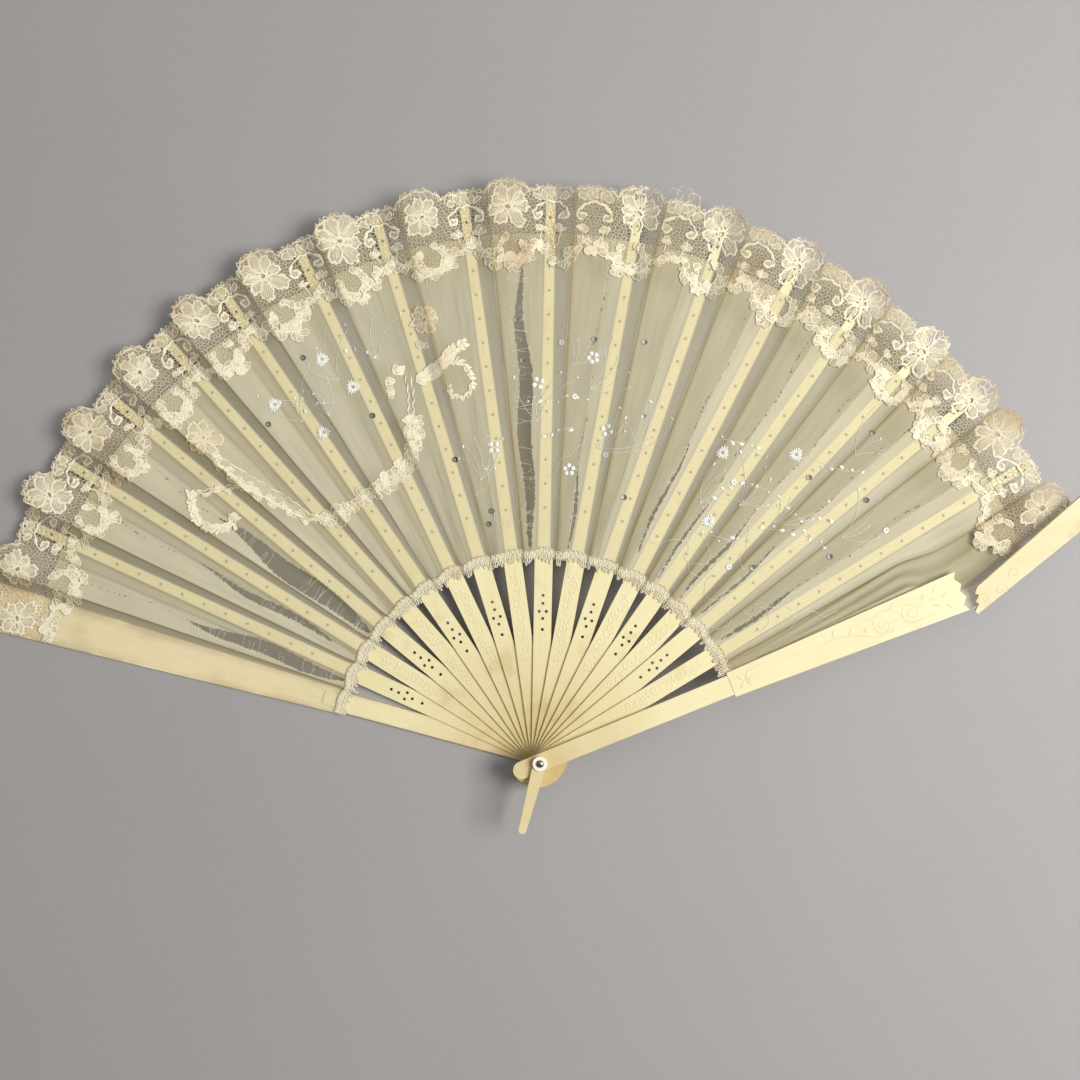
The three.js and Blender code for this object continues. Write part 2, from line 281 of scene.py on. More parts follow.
def smooth(points, per_span=6):
    """Curve through the given points."""
    p = np.asarray(points, float)
    padded = np.vstack([2 * p[0] - p[1], p, 2 * p[-1] - p[-2]])
    t = np.linspace(0, 1, per_span, endpoint=False)[:, None]
    spans = []
    for a, b, c, d in zip(padded, padded[1:], padded[2:], padded[3:]):
        square = 2 * a - 5 * b + 4 * c - d
        cube = 3 * b - a - 3 * c + d
        spans.append(b + 0.5 * ((c - a) * t + square * t ** 2 + cube * t ** 3))
    return np.vstack(spans + [p[-1:]])


def polar(degrees, r):
    angle = np.radians(degrees)
    return np.stack([r * np.cos(angle), r * np.sin(angle)], -1)


def circle(centre, radius, steps, start=0.0, stop=2 * math.pi, closed=True):
    t = np.linspace(start, stop, steps, endpoint=not closed)
    return np.column_stack([centre[0] + radius * np.cos(t), centre[1] + radius * np.sin(t)])


def petal(centre, turn, length, width, foot=0.0, steps=16):
    """Outline of a petal: its foot is this far from the centre, and it points along turn."""
    t = np.linspace(0, 2 * math.pi, steps, endpoint=False)
    out = 0.5 - 0.5 * np.cos(t)
    along = foot + length * out
    side = width / 2 * np.sin(t) * (0.7 + 0.6 * out)
    c, s = math.cos(turn), math.sin(turn)
    return np.column_stack([centre[0] + along * c - side * s, centre[1] + along * s + side * c])


class Spot:
    """Drawing plane on the leaf: u runs right and v outwards from a place in degrees and millimetres."""

    def __init__(self, degrees, r, turn=0.0, size=1.0):
        self.gore = gore_at(degrees)
        self.origin = polar(degrees, r)
        t = math.radians(degrees - 90 + turn)
        self.axes = size * np.array([[math.cos(t), math.sin(t)], [-math.sin(t), math.cos(t)]])

    def at(self, points):
        return self.origin + np.asarray(points, float) @ self.axes


class Threads:
    """Ribbons and filled patches of thread, laid over the leaf."""

    def __init__(self):
        self.points = []
        self.lifts = []
        self.faces = []
        self.slots = []
        self.count = 0

    def add(self, points, lifts, faces, slot):
        self.points.append(points)
        self.lifts.append(lifts)
        self.faces.append(np.asarray(faces) + self.count)
        self.slots += [slot] * len(faces)
        self.count += len(points)

    def ribbon(self, points, width, crown=0.0, closed=False, slot=0, lift=0.0):
        """Strip along points; with a crown it is a low ridge, otherwise it is flat."""
        p = np.asarray(points, float)
        n = len(p)
        ahead = np.roll(p, -1, 0) - np.roll(p, 1, 0)
        if not closed:
            ahead[0] = p[1] - p[0]
            ahead[-1] = p[-1] - p[-2]
        length = np.maximum(np.hypot(ahead[:, 0], ahead[:, 1]), 1e-9)
        side = np.stack([-ahead[:, 1], ahead[:, 0]], 1) / length[:, None] * width / 2
        rows = [p + side, p, p - side] if crown else [p + side, p - side]
        heights = [lift, lift + crown, lift] if crown else [lift, lift]
        i = np.arange(n if closed else n - 1)
        j = (i + 1) % n
        faces = [np.stack([row * n + j, row * n + i, (row + 1) * n + i, (row + 1) * n + j], 1)
                 for row in range(len(rows) - 1)]
        self.add(np.concatenate(rows), np.repeat(heights, n), np.concatenate(faces), slot)

    def cord(self, points, width, closed=False):
        self.ribbon(points, width, CORD_CROWN, closed, lift=CORD_LIFT)

    def segments(self, a, b, width, slot):
        """Many short flat threads at once, from points a to points b."""
        ahead = b - a
        side = np.stack([-ahead[:, 1], ahead[:, 0]], 1)
        side *= width / 2 / np.hypot(side[:, 0], side[:, 1])[:, None]
        quads = np.stack([a + side, a - side, b - side, b + side], 1).reshape(-1, 2)
        self.add(quads, np.zeros(len(quads)), np.arange(len(quads)).reshape(-1, 4), slot)

    def patch(self, outline, slot=0, lift=0.0, crown=0.0, hole=0.05):
        """Filled shape inside a closed outline; hole is the share of it left open in the middle."""
        p = np.asarray(outline, float)
        n = len(p)
        middle = p.mean(0)
        rings = [middle + (p - middle) * share for share in (0.5, hole)]
        heights = np.repeat([lift, lift + 0.75 * crown, lift + crown], n)
        i = np.arange(n)
        j = (i + 1) % n
        faces = [np.stack([row + i, row + j, row + n + j, row + n + i], 1) for row in (0, n)]
        self.add(np.concatenate([p, *rings]), heights, np.concatenate(faces), slot)

    def band(self, low, high, slot, lift, rows=16):
        """Sheet between two lines of as many points."""
        n = len(low)
        grid = np.concatenate([mix(low, high, t) for t in np.linspace(0, 1, rows)])
        a = np.arange((rows - 1) * n).reshape(-1, n)[:, :-1].ravel()
        self.add(grid, np.full(len(grid), lift), np.stack([a, a + 1, a + n + 1, a + n], 1), slot)

    def mesh(self, name, materials, base, keep=None, gore=None, waver=0.0, shade=1.0, height=leaf_height):
        """Piece from all the threads; waver is how far hand work strays, shade how strongly the painted
        pleat shade darkens it.
        """
        xy = np.concatenate(self.points)
        x, y = xy.T
        stray = [np.sin(1.3 * y + 2 * np.sin(0.7 * x)), np.sin(1.1 * x + 2 * np.sin(0.6 * y))]
        xy = xy + waver * np.column_stack(stray)
        x, y = xy.T
        faces = np.concatenate(self.faces)
        slots = np.array(self.slots)
        if keep is not None:
            kept = keep(xy[faces].mean(1), slots)
            faces, slots = faces[kept], slots[kept]
        z = height(x, y) + base + np.concatenate(self.lifts)
        obj = new_object(name, np.column_stack([xy, z]), faces.tolist(), materials, slots)
        if gore:
            # Painted shade of the pleats, which the material turns into darker colour
            point_values(obj, "PaintedFoldShade", shade * painted_fold_shade(gore, np.hypot(x, y), np.arctan2(y, x)))
        return obj


# Materials

# Colour by which the painted pleat shade multiplies thread work
PAINTED_SHADE_TINT = (0.55, 0.46, 0.28)
# Colour of the painted shade in the gauze's pleats and along its crease lines
PAINTED_SHADE_COLOUR = (0.27, 0.19, 0.045)
# Inside a tear: shredded threads, and the painted shadow of the table under the hole
TEAR_SHREDS_AND_PAINTED_SHADOW = (0.26, 0.225, 0.125)
# Distances from the rivet between which a look comes or goes, in metres
HEAD_SPAN = (0.022, 0.013)
HANDLED_SPAN = (0.012, 0.07)
PAST_BRAID_SPAN = (0.1, 0.13)
PANEL_END_SPAN = (0.245, 0.28)
RIM_SPAN = (0.277, 0.289)


class Look:
    """Material in the making: a principled shader and short ways to add nodes to it."""

    def __init__(self, name, roughness, **sockets):
        self.material = bpy.data.materials.new(name)
        self.material.use_nodes = True
        self.tree = self.material.node_tree
        self.bsdf = self.tree.nodes["Principled BSDF"]
        self.feed(self.bsdf, Roughness=roughness, **sockets)
        self.place = self.node("TexCoord").outputs["Object"]

    def node(self, kind, **settings):
        node = self.tree.nodes.new("ShaderNode" + kind)
        for key, value in settings.items():
            setattr(node, key, value)
        return node

    def fill(self, socket, value):
        """Link a socket to another node's output, or set it to a colour or a number."""
        if isinstance(value, bpy.types.NodeSocket):
            self.tree.links.new(value, socket)
        else:
            socket.default_value = (*value, 1) if isinstance(value, tuple) else value

    def feed(self, node, **values):
        for name, value in values.items():
            self.fill(node.inputs[name.replace("_", " ")], value)

    def paint(self, **values):
        self.feed(self.bsdf, **values)

    def noise(self, scale, detail=4.0, vector=None):
        node = self.node("TexNoise")
        self.feed(node, Vector=self.place if vector is None else vector, Scale=scale, Detail=detail)
        return node.outputs["Fac"]

    def wave(self, scale, distortion, detail=2.0, **settings):
        node = self.node("TexWave", **settings)
        self.feed(node, Vector=self.place, Scale=scale, Distortion=distortion, Detail=detail)
        return node.outputs["Fac"]

    def ramp(self, value, low, high, to_low=0.0, to_high=1.0):
        node = self.node("MapRange")
        self.feed(node, Value=value, From_Min=low, From_Max=high, To_Min=to_low, To_Max=to_high)
        return node.outputs[0]

    def blend(self, factor, a, b, kind="MIX"):
        """Mix of two colours."""
        node = self.node("Mix", data_type="RGBA", blend_type=kind)
        for key, value in (("Factor", factor), (6, a), (7, b)):
            self.fill(node.inputs[key], value)
        return node.outputs[2]

    def choose(self, factor, a, b):
        """Mix of two numbers."""
        node = self.node("Mix")
        for key, value in (("Factor", factor), (2, a), (3, b)):
            self.fill(node.inputs[key], value)
        return node.outputs[0]

    def maths(self, operation, a, b=0.0):
        node = self.node("Math", operation=operation)
        self.fill(node.inputs[0], a)
        self.fill(node.inputs[1], b)
        return node.outputs[0]

    def attribute(self, name):
        return self.node("Attribute", attribute_name=name).outputs["Fac"]

    def radius(self):
        """Distance from the rivet."""
        node = self.node("VectorMath", operation="LENGTH")
        self.fill(node.inputs[0], self.place)
        return node.outputs["Value"]

    def along(self):
        """Vector that changes fast across each stick and slowly along it."""
        split = self.node("SeparateXYZ")
        self.fill(split.inputs[0], self.place)
        x, y, z = split.outputs
        join = self.node("CombineXYZ")
        slow_radius = self.maths("MULTIPLY", self.radius(), 0.35)
        self.feed(join, X=self.maths("ARCTAN2", y, x), Y=slow_radius, Z=z)
        return join.outputs[0]

    def bump(self, height, strength, distance):
        node = self.node("Bump")
        self.feed(node, Height=height, Strength=strength, Distance=distance)
        self.paint(Normal=node.outputs["Normal"])


def darker(colour, share):
    return tuple(share * c for c in colour)


def panel_edge(look):
    """How close a place on the rear panel is to the panel's two long edges and its outer end."""
    across = look.node("VectorMath", operation="DOT_PRODUCT")
    across.inputs[1].default_value = (-math.sin(ANGLES[0]), math.cos(ANGLES[0]), 0)
    look.fill(across.inputs[0], look.place)
    radius = look.radius()
    half = look.ramp(radius, PANEL_START_R * MM, PANEL_TIP_R * MM, PANEL_HALF * MM, PANEL_TIP_HALF * MM)
    share = look.maths("ABSOLUTE", look.maths("DIVIDE", across.outputs["Value"], half))
    outer_end = look.ramp(radius, *PANEL_END_SPAN, 0.0, 0.5)
    return look.maths("MAXIMUM", look.ramp(share, 0.55, 1.0, 0.0, 0.85), outer_end)


def bone_material(name, pale, deep, stain, stain_from=0.62, outer=None, handling=0.95):
    """Bone: streaks along the stick, soft clouds and scattered stains.

    Near the rivet it has fine lines and is brown from handling; past the braid it may change to outer.
    """
    look = Look(name, 0.42)
    radius = look.radius()
    along = look.along()
    grain = look.noise(160.0, 6.0, along)
    blotch = look.noise(55.0, 6.0)
    colour = look.blend(look.noise(28.0), deep, pale)
    if outer:
        colour = look.blend(look.ramp(radius, *PAST_BRAID_SPAN, 0.0, 0.9), colour, outer)
        edge_dirt = look.maths("MULTIPLY", panel_edge(look), look.ramp(blotch, 0.35, 0.55))
        colour = look.blend(edge_dirt, colour, stain)
    streaks = look.ramp(grain, 0.62, 0.35, 0.0, 0.22)
    toned = look.blend(streaks, colour, deep, "MULTIPLY")
    layers = look.ramp(look.noise(15.0, 2.0, along), 0.56, 0.44)
    at_head = look.ramp(radius, *HEAD_SPAN, 0.0, 0.75 * handling)
    toned = look.blend(look.maths("MULTIPLY", at_head, layers), toned, deep, "MULTIPLY")
    handled = look.ramp(radius, *HANDLED_SPAN, handling, 0.0)
    handled = look.maths("MULTIPLY", handled, look.ramp(blotch, 0.3, 0.7, 0.45, 1.0))
    worn = look.blend(handled, toned, stain)
    spots = look.ramp(blotch, stain_from, stain_from + 0.15, 0.0, 0.4)
    look.paint(Base_Color=look.blend(spots, worn, stain), Roughness=look.ramp(grain, 0.3, 0.8, 0.5, 0.36))
    look.bump(grain, 0.12, 0.0004)
    return look.material


def thread_material(name, pale, stain, stain_from=0.6, alpha=1.0, thread=700.0, rim_stain=0.0):
    """Thread work: pale yarn with old stains and painted pleat shade; rim_stain browns the outer rim of the
    leaf.
    """
    look = Look(name, 0.85, Sheen_Weight=0.3)
    spots = look.noise(40.0, 5.0)
    dirt = look.ramp(spots, stain_from, stain_from + 0.2, 0.0, 0.9)
    if rim_stain:
        rim = look.ramp(look.radius(), *RIM_SPAN, 0.0, rim_stain)
        rim = look.maths("MULTIPLY", rim, look.ramp(spots, 0.35, 0.6))
        dirt = look.maths("MAXIMUM", dirt, rim)
    tone = look.blend(look.noise(900.0, 2.0), darker(pale, 0.82), pale)
    stained = look.blend(dirt, tone, stain)
    # Painted shade of the pleats darkens the thread towards the tint
    shade = look.ramp(look.attribute("PaintedFoldShade"), 0.0, 0.7)
    look.paint(Base_Color=look.blend(shade, stained, PAINTED_SHADE_TINT, "MULTIPLY"))
    yarn = look.wave(thread, 1.5)
    look.bump(yarn, 0.35, 0.0003)
    if alpha < 1:
        look.paint(Alpha=look.ramp(yarn, 0.0, 1.0, 0.6 * alpha, 1.4 * alpha))
    return look.material


def gauze_material():
    """Sheer weave: painted pleat shade darkens and thickens it beside the ribs, painted light thickens it,
    and Tear opens it along a ragged edge.
    """
    look = Look("gauze", 0.9, Sheen_Weight=0.2)
    weave = look.noise(1800.0, 2.0)
    fold = look.attribute("PaintedFoldShade")
    clean = look.blend(look.noise(18.0), (0.76, 0.685, 0.4), (0.86, 0.79, 0.54))
    woven = look.blend(weave, clean, (0.87, 0.8, 0.54))
    # Painted shade of the pleats
    weave_with_painted_shade = look.blend(fold, woven, PAINTED_SHADE_COLOUR)
    thin = look.ramp(look.noise(90.0, 3.0, look.along()), 0.3, 0.7, 0.4, 0.48)
    # Painted shade and painted light both make the gauze denser
    opacity_from_painted_shade = look.maths("MULTIPLY", look.maths("ABSOLUTE", fold), 0.3)
    fray = look.ramp(look.noise(600.0, 3.0), 0.2, 0.8, -0.7, 0.7)
    torn = look.maths("GREATER_THAN", look.maths("ADD", look.attribute("Tear"), fray), 0.0)
    # Inside a tear the gauze turns to a dark sheet of shredded threads that is partly painted shadow
    rings = look.wave(350.0, 5.0, 3.0, wave_type="RINGS", rings_direction="Z")
    shreds_and_painted_shadow = look.ramp(rings, 0.4, 1.0, 0.25, 0.9)
    look.paint(Base_Color=look.blend(torn, weave_with_painted_shade, TEAR_SHREDS_AND_PAINTED_SHADOW),
               Alpha=look.choose(torn, look.maths("ADD", thin, opacity_from_painted_shade), shreds_and_painted_shadow))
    look.bump(weave, 0.2, 0.0003)
    return look.material


def steel_material(name, colour, roughness):
    look = Look(name, roughness, Metallic=1.0)
    wear = look.noise(600.0)
    look.paint(Base_Color=look.blend(wear, darker(colour, 0.6), colour),
               Roughness=look.ramp(wear, 0.3, 0.8, roughness, roughness + 0.25))
    return look.material


BONE = bone_material("bone", (0.88, 0.8, 0.5), (0.77, 0.68, 0.37), (0.55, 0.4, 0.15), 0.58)
PALE_BONE = bone_material("pale_bone", (0.88, 0.79, 0.5), (0.79, 0.69, 0.4), (0.55, 0.4, 0.16))
OLD_BONE = bone_material("old_bone", (0.88, 0.79, 0.5), (0.79, 0.69, 0.4), (0.56, 0.38, 0.16), 0.55,
                         outer=(0.94, 0.81, 0.55))
# Darker copy of the guard's bone for the broken tip: painted shade that tones down the light on its tilted
# face
TIP_BONE_PAINTED_SHADE = bone_material("tip_bone_painted_shade", (0.79, 0.69, 0.44), (0.72, 0.62, 0.37), (0.45, 0.33, 0.14), 0.58)
# Darker bone on the tip's engraved scrolls: painted shade of their relief
TIP_CARVING_PAINTED_SHADE = bone_material("tip_carving_painted_shade", (0.69, 0.59, 0.36), (0.63, 0.53, 0.32), (0.45, 0.33, 0.14))
# Slightly darker bone on the carved and engraved relief: painted shade
CARVED_PAINTED_SHADE = bone_material("carved_bone_painted_shade", (0.83, 0.74, 0.46), (0.74, 0.64, 0.37), (0.5, 0.37, 0.15))
WASHER = bone_material("washer_bone", (0.93, 0.9, 0.78), (0.88, 0.84, 0.68), (0.6, 0.5, 0.3), 0.7,
                       handling=0.0)
GAUZE = gauze_material()
LACE = thread_material("lace_thread", (0.97, 0.885, 0.66), (0.5, 0.32, 0.13), rim_stain=0.7)
LACE_NET = thread_material("lace_net", (0.78, 0.67, 0.42), (0.42, 0.28, 0.12), 0.58, rim_stain=0.7)
OLD_LACE = thread_material("old_lace", (0.93, 0.81, 0.55), (0.6, 0.38, 0.15), 0.52)
LACE_FILL = thread_material("lace_fill", (0.92, 0.83, 0.58), (0.5, 0.33, 0.15), alpha=0.5, thread=1400.0)
LACE_VEIL = thread_material("lace_veil", (0.84, 0.73, 0.48), (0.5, 0.35, 0.17), 0.58,
                            alpha=0.22, thread=1600.0)
BRAID = thread_material("braid", (0.85, 0.77, 0.55), (0.45, 0.3, 0.14), 0.56)
OLD_BRAID = thread_material("old_braid", (0.72, 0.6, 0.4), (0.4, 0.26, 0.11), 0.5)
SILK = thread_material("white_silk", (0.97, 0.96, 0.9), (0.62, 0.58, 0.45), 0.72, thread=900.0)
STEM = thread_material("stem_silk", (0.84, 0.82, 0.72), (0.55, 0.5, 0.38), 0.7, thread=900.0)
# Dark discs over the ribs' small holes: painted shade
HOLE_PAINTED_SHADE = thread_material("hole_painted_shade", (0.2, 0.14, 0.06), (0.12, 0.08, 0.04), 0.5, thread=900.0)
STEEL = steel_material("rivet_steel", (0.38, 0.35, 0.3), 0.18)
SEQUIN = steel_material("sequin", (0.23, 0.225, 0.2), 0.32)

for node in frame["nodes"]:
    solid = bpy.data.objects[node]
    material = BONE if node.startswith("stick") else PALE_BONE
    material = OLD_BONE if node.startswith("rear_guard") else material
    material = {"rivet_pin": STEEL, "front_washer": WASHER, "front_guard_tip": TIP_BONE_PAINTED_SHADE}.get(node, material)
    solid.data.materials.clear()
    solid.data.materials.append(material)


# Gauze panels

RADIAL_STEP = 2
SECTION_STEPS = (3, 16, 40, 16, 3)
WAVE = 0.22
# The last panel is crumpled with painted shade along its crumples, and beside the broken tip it is painted
# brown: partly a rolled brown cloth, partly painted shade
CRUMPLE = 2.2
CRUMPLE_START_R = 112
CRUMPLE_FULL_R = 200
CRUMPLE_SHADE = 0.3
TIP_SHADE = 0.9
TIP_SHADE_WIDTH = 9
# Splits along the folds: gore, degrees left of its right stick, half width in degrees, from and to radius
SPLITS = [
    (1, 3.1, 1.4, 104, 190), (2, 2.5, 0.7, 118, 196), (3, 3.2, 1.9, 104, 200), (9, 3.5, 1.2, 103, 250),
    (10, 2.6, 0.4, 105, 150), (12, 2.5, 0.35, 112, 176), (13, 2.4, 0.3, 106, 160), (14, 2.4, 0.4, 105, 165),
    (15, 2.3, 0.3, 106, 160), (16, 2.6, 0.5, 107, 156),
]
TEAR_RANGE = 2.0


def tear_depth(k, r, angle):
    """How far inside a split a place lies, in millimetres; negative outside."""
    depth = np.full(np.broadcast(r, angle).shape, -TEAR_RANGE)
    for gore, offset, half, low, high in SPLITS:
        if gore == k:
            swell = np.sin(math.pi * np.clip((r - low) / (high - low), 0, 1) ** 0.7).clip(0, 1)
            off = np.abs(angle - ANGLES[k] - math.radians(offset) - 0.006 * np.sin(0.11 * r + k))
            depth = np.maximum(depth, (math.radians(half) * swell - off) * r - TEAR_RANGE * (swell <= 0))
    return np.clip(depth, -TEAR_RANGE, TEAR_RANGE)


def crumple(r, angles, turns, free):
    """Waves of the last panel at radius r, and how dark it is there: painted shade of the crumples, and
    beside the broken tip a brown roll of cloth that is partly painted shade.
    """
    ripple = np.sin(np.linspace(0, 13, len(angles)) + 0.03 * r) * free
    wave = -CRUMPLE * smoothstep(r, CRUMPLE_START_R, CRUMPLE_FULL_R) * np.abs(ripple)
    shade = CRUMPLE_SHADE * np.exp(-(ripple / 0.3) ** 2) * free
    beside_tip = np.exp(-((angles - turns[3]) * r / TIP_SHADE_WIDTH) ** 2)
    return wave, shade + TIP_SHADE * beside_tip * smoothstep(r, BREAK_R - 10, BREAK_R + 2)


def gauze_panel(k):
    """Panel of gore k, and the lengths of its inner and outer edges when laid flat."""
    rows, fold, tear = [], [], []
    for r in np.arange(LEAF_IN_R, GAUZE_OUT_R + 1, RADIAL_STEP, dtype=float):
        turns = corners(k, np.array(r))[0]
        left = leaf_bounds(np.array(r))[0] if k == 1 else ANGLES[k - 1]
        right = turns[3] - 1e-5 if k == FRONT else ANGLES[k]
        stops = [left, *turns, right]
        parts = [np.linspace(a, b, n, endpoint=False) for a, b, n in zip(stops, stops[1:], SECTION_STEPS)]
        angles = np.append(np.concatenate(parts), right)
        free = (angles < turns[1]) & (angles > turns[2])
        wave = WAVE * np.sin(0.13 * r + 2.4 * k) * np.sin(np.linspace(0, 9, len(angles)) + k) * free
        shade = 0
        if k == FRONT:
            wave, shade = crumple(r, angles, turns, free)
        z = gore_height(k, np.full(len(angles), r), angles) + GAUZE_LIFT + wave
        rows.append(np.column_stack([r * np.cos(angles), r * np.sin(angles), z]))
        # Painted shade of the pleats, of the crumples and beside the broken tip
        fold.append(painted_fold_shade(k, np.array(r), angles) + shade)
        tear.append(tear_depth(k, r, angles))
    across = len(rows[0])
    starts = [j * across + i for j in range(len(rows) - 1) for i in range(across - 1)]
    faces = [(a, a + 1, a + across + 1, a + across) for a in starts]
    obj = new_object("gauze_panel_%02d" % k, np.concatenate(rows), faces, [GAUZE])
    point_values(obj, "PaintedFoldShade", np.concatenate(fold))
    point_values(obj, "Tear", np.concatenate(tear))
    bend_with_gore(obj, k)
    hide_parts("gauze_%02d" % k)
    developed = [np.linalg.norm(np.diff(row, axis=0), axis=1).sum() for row in (rows[0], rows[-1])]
    return obj, developed


# Lace edge: one flower and one pair of scrolls for each gore

NET_CELL = 1.8
NET_WIDTH = 0.25
NOTCH_R = 281
FLOWER_R = 273.5
FLOWER_R_SIDE = 277
FLOWER_LOBE = 6
FLOWER_LOBE_SIDE = 10
SCROLL_R = 273.5
SCROLL_LOBE = 3
WREATH_R = 253
INNER_R = 249
INNER_WAVE = 5.5
RIM_INSET = 1.3
PICOTS = 2.2
GARLAND_INSET = 1.5
BAR_STEP = 3.1
BAR_DEPTH = 4.5
FRINGE_STEP = 1.9
VEIL_MARGIN = 1
LACE_WAVER = 0.4
# Strength of the painted pleat shade on the lace, on the left and on the right half
LACE_SHADE = 0.65
LACE_SHADE_RIGHT = 0.75
SOLID_SHARE = 0.12
RUFFLE = 0.06
RUFFLE_STEPS = 40
FRAYED_GORE = 11
FRAYED_WIDTH = 0.28
RIB_FLOWERS = range(10, 16)
# Flower over the end of the rear guard: degrees, radius, turn, size
REAR_FLOWER = (REAR_GUARD_ANGLE + 0.6, 271, 20, 0.85)
# Petals of the lace flower: degrees from the outward direction, length and width
FLOWER_PETALS = [(-62, 8.0, 5.4), (-22, 9.2, 6.2), (20, 9.4, 6.0), (58, 8.4, 5.6), (100, 7.8, 5.2),
                 (150, 9.6, 6.6), (206, 9.2, 6.2), (256, 7.4, 5.0)]
# Right half of the arch, which curls up at its end
ARCH = [(0, 2.6), (3, 2.3), (5.6, 0.6), (8.4, -2.4), (8.2, -5.2), (6, -6.2), (4.2, -4.6), (5.2, -2.9),
        (6.8, -3.6)]
# Twig below the arch: distance to the side, and radius
TWIG = np.array([(1.5, 253.5), (4.5, 257), (5.5, 262)])


def hex_net(left, right, low, high):
    """Edges of a honeycomb net, as two arrays of end points."""
    rise = NET_CELL * math.sqrt(3) / 2
    starts, ends = [], []
    for j in range(int((high - low) / rise) + 2):
        y = low + j * rise
        for i in range(int((right - left) / NET_CELL) + 2):
            x = left + (i + 0.5 * (j % 2)) * NET_CELL
            starts += [(x, y + rise / 3)] * 3
            ends += [(x, y + rise), (x - NET_CELL / 2, y), (x + NET_CELL / 2, y)]
    return np.array(starts), np.array(ends)


def filled_petal(threads, outline, cord, fill=1):
    threads.patch(outline, slot=fill, lift=0.1, crown=0.15)
    threads.cord(outline, cord, closed=True)


def along_line(line, spacing):
    """Places at about even spacing along a line: point, direction and share of the length."""
    ahead = np.gradient(line, axis=0)
    gone = np.concatenate([[0], np.cumsum(np.linalg.norm(np.diff(line, axis=0), axis=1))])
    for distance in np.arange(0.5 * spacing, gone[-1], spacing):
        i = np.searchsorted(gone, distance + chance.uniform(-0.2, 0.2) * spacing, side="right") - 1
        yield line[i], math.atan2(ahead[i, 1], ahead[i, 0]), distance / gone[-1]


def leaf_cluster(threads, point, turn, size, leaves=4, spread=1.1):
    """Leaflets that fan out from one point; some are worked solid and some are open."""
    for i in range(leaves):
        lean = turn + mix(-spread, spread, i / (leaves - 1)) + chance.uniform(-0.2, 0.2)
        length = size * chance.uniform(0.75, 1.25)
        outline = petal(point, lean, length, length * chance.uniform(0.6, 0.8), steps=12)
        filled_petal(threads, outline, 0.55, 0 if chance.random() < SOLID_SHARE else 1)
        ahead = np.array([math.cos(lean), math.sin(lean)])
        threads.ribbon(point + np.outer((0.15 * length, 0.85 * length), ahead), 0.3, lift=0.3)


def garland(threads, line, spacing=4.6, leaf=4.2):
    """Cord with clusters of leaflets on alternate sides."""
    threads.cord(line, 0.75)
    side = math.pi / 2
    for point, turn, _ in along_line(line, spacing):
        leaf_cluster(threads, point, turn + side, leaf * chance.uniform(0.8, 1.15), chance.choice((3, 4)))
        side = -side


def rosette(threads, point, size):
    threads.patch(circle(point, 0.8 * size, 12), slot=1, lift=0.05)
    leaf_cluster(threads, point, chance.uniform(0, 6), size, leaves=6, spread=2.6)
    threads.ribbon(circle(point, 0.3 * size, 9), 0.5, CORD_CROWN, closed=True, lift=0.25)


def leafy_spine(threads, line, first, last):
    """Scroll leaf: a cord with pairs of solid leaflets that shrink towards its end."""
    threads.ribbon(line, 0.9, crown=0.4, lift=0.25)
    for point, turn, share in along_line(line, 2.4):
        length = mix(first, last, share)
        for lean in (-0.6, 0.6):
            filled_petal(threads, petal(point, turn + lean, length, 0.42 * length, steps=12), 0.4, fill=0)


def lace_flower(threads, spot):
    """Open flower: each petal is outlined, netted and hatched."""
    for degrees, length, width in FLOWER_PETALS:
        turn = math.pi / 2 - math.radians(degrees + chance.uniform(-9, 9))
        length *= chance.uniform(0.86, 1.14)
        width *= chance.uniform(0.85, 1.0)
        outline = petal((0, 0), turn, length, width, foot=2.0, steps=RUFFLE_STEPS)
        ruffle = np.sin(np.arange(RUFFLE_STEPS) * 0.4 * math.pi + chance.uniform(0, 6))
        outline *= (1 + RUFFLE * ruffle)[:, None]
        filled_petal(threads, spot.at(outline), 0.95)
        for lean in np.linspace(-0.26, 0.26, 6):
            ends = (3.4, (0.96 - 0.9 * abs(lean)) * length + 1)
            vein = [(d * math.cos(turn + lean), d * math.sin(turn + lean)) for d in ends]
            threads.ribbon(spot.at(vein), 0.3, lift=0.34)
    threads.ribbon(spot.at(circle((0, 0), 1.5, 12)), 0.6, crown=0.35, closed=True, lift=0.2)


def lace_scrolls(threads, spot):
    """Arch that curls up at both ends, with a fan of leaflets over it."""
    for side in (-1, 1):
        threads.ribbon(spot.at(smooth([(side * u, v) for u, v in ARCH])), 1.1, crown=0.35, lift=0.2)
        filled_petal(threads, spot.at(circle((side * 6.3, -4.4), 1.7, 12)), 0.4)
    for i in range(-2, 3):
        turn = math.pi / 2 - 0.4 * i + chance.uniform(-0.1, 0.1)
        length = chance.uniform(4, 5.2)
        outline = petal((2.4 * i, 4.2 - 0.5 * abs(i)), turn, length, 0.65 * length)
        filled_petal(threads, spot.at(outline), 0.5)


def lace_wreath(threads, spot):
    """Ring of leaf clusters, open towards the rim."""
    ring = spot.at(circle((0, 0), 4.8, 28, 0.72 * math.pi, 2.28 * math.pi, closed=False))
    threads.ribbon(ring, 0.65, CORD_CROWN, lift=0.15)
    for point, turn, _ in along_line(ring, 4.2):
        leaf_cluster(threads, point, turn - math.pi / 2, 3.4, leaves=3, spread=0.9)


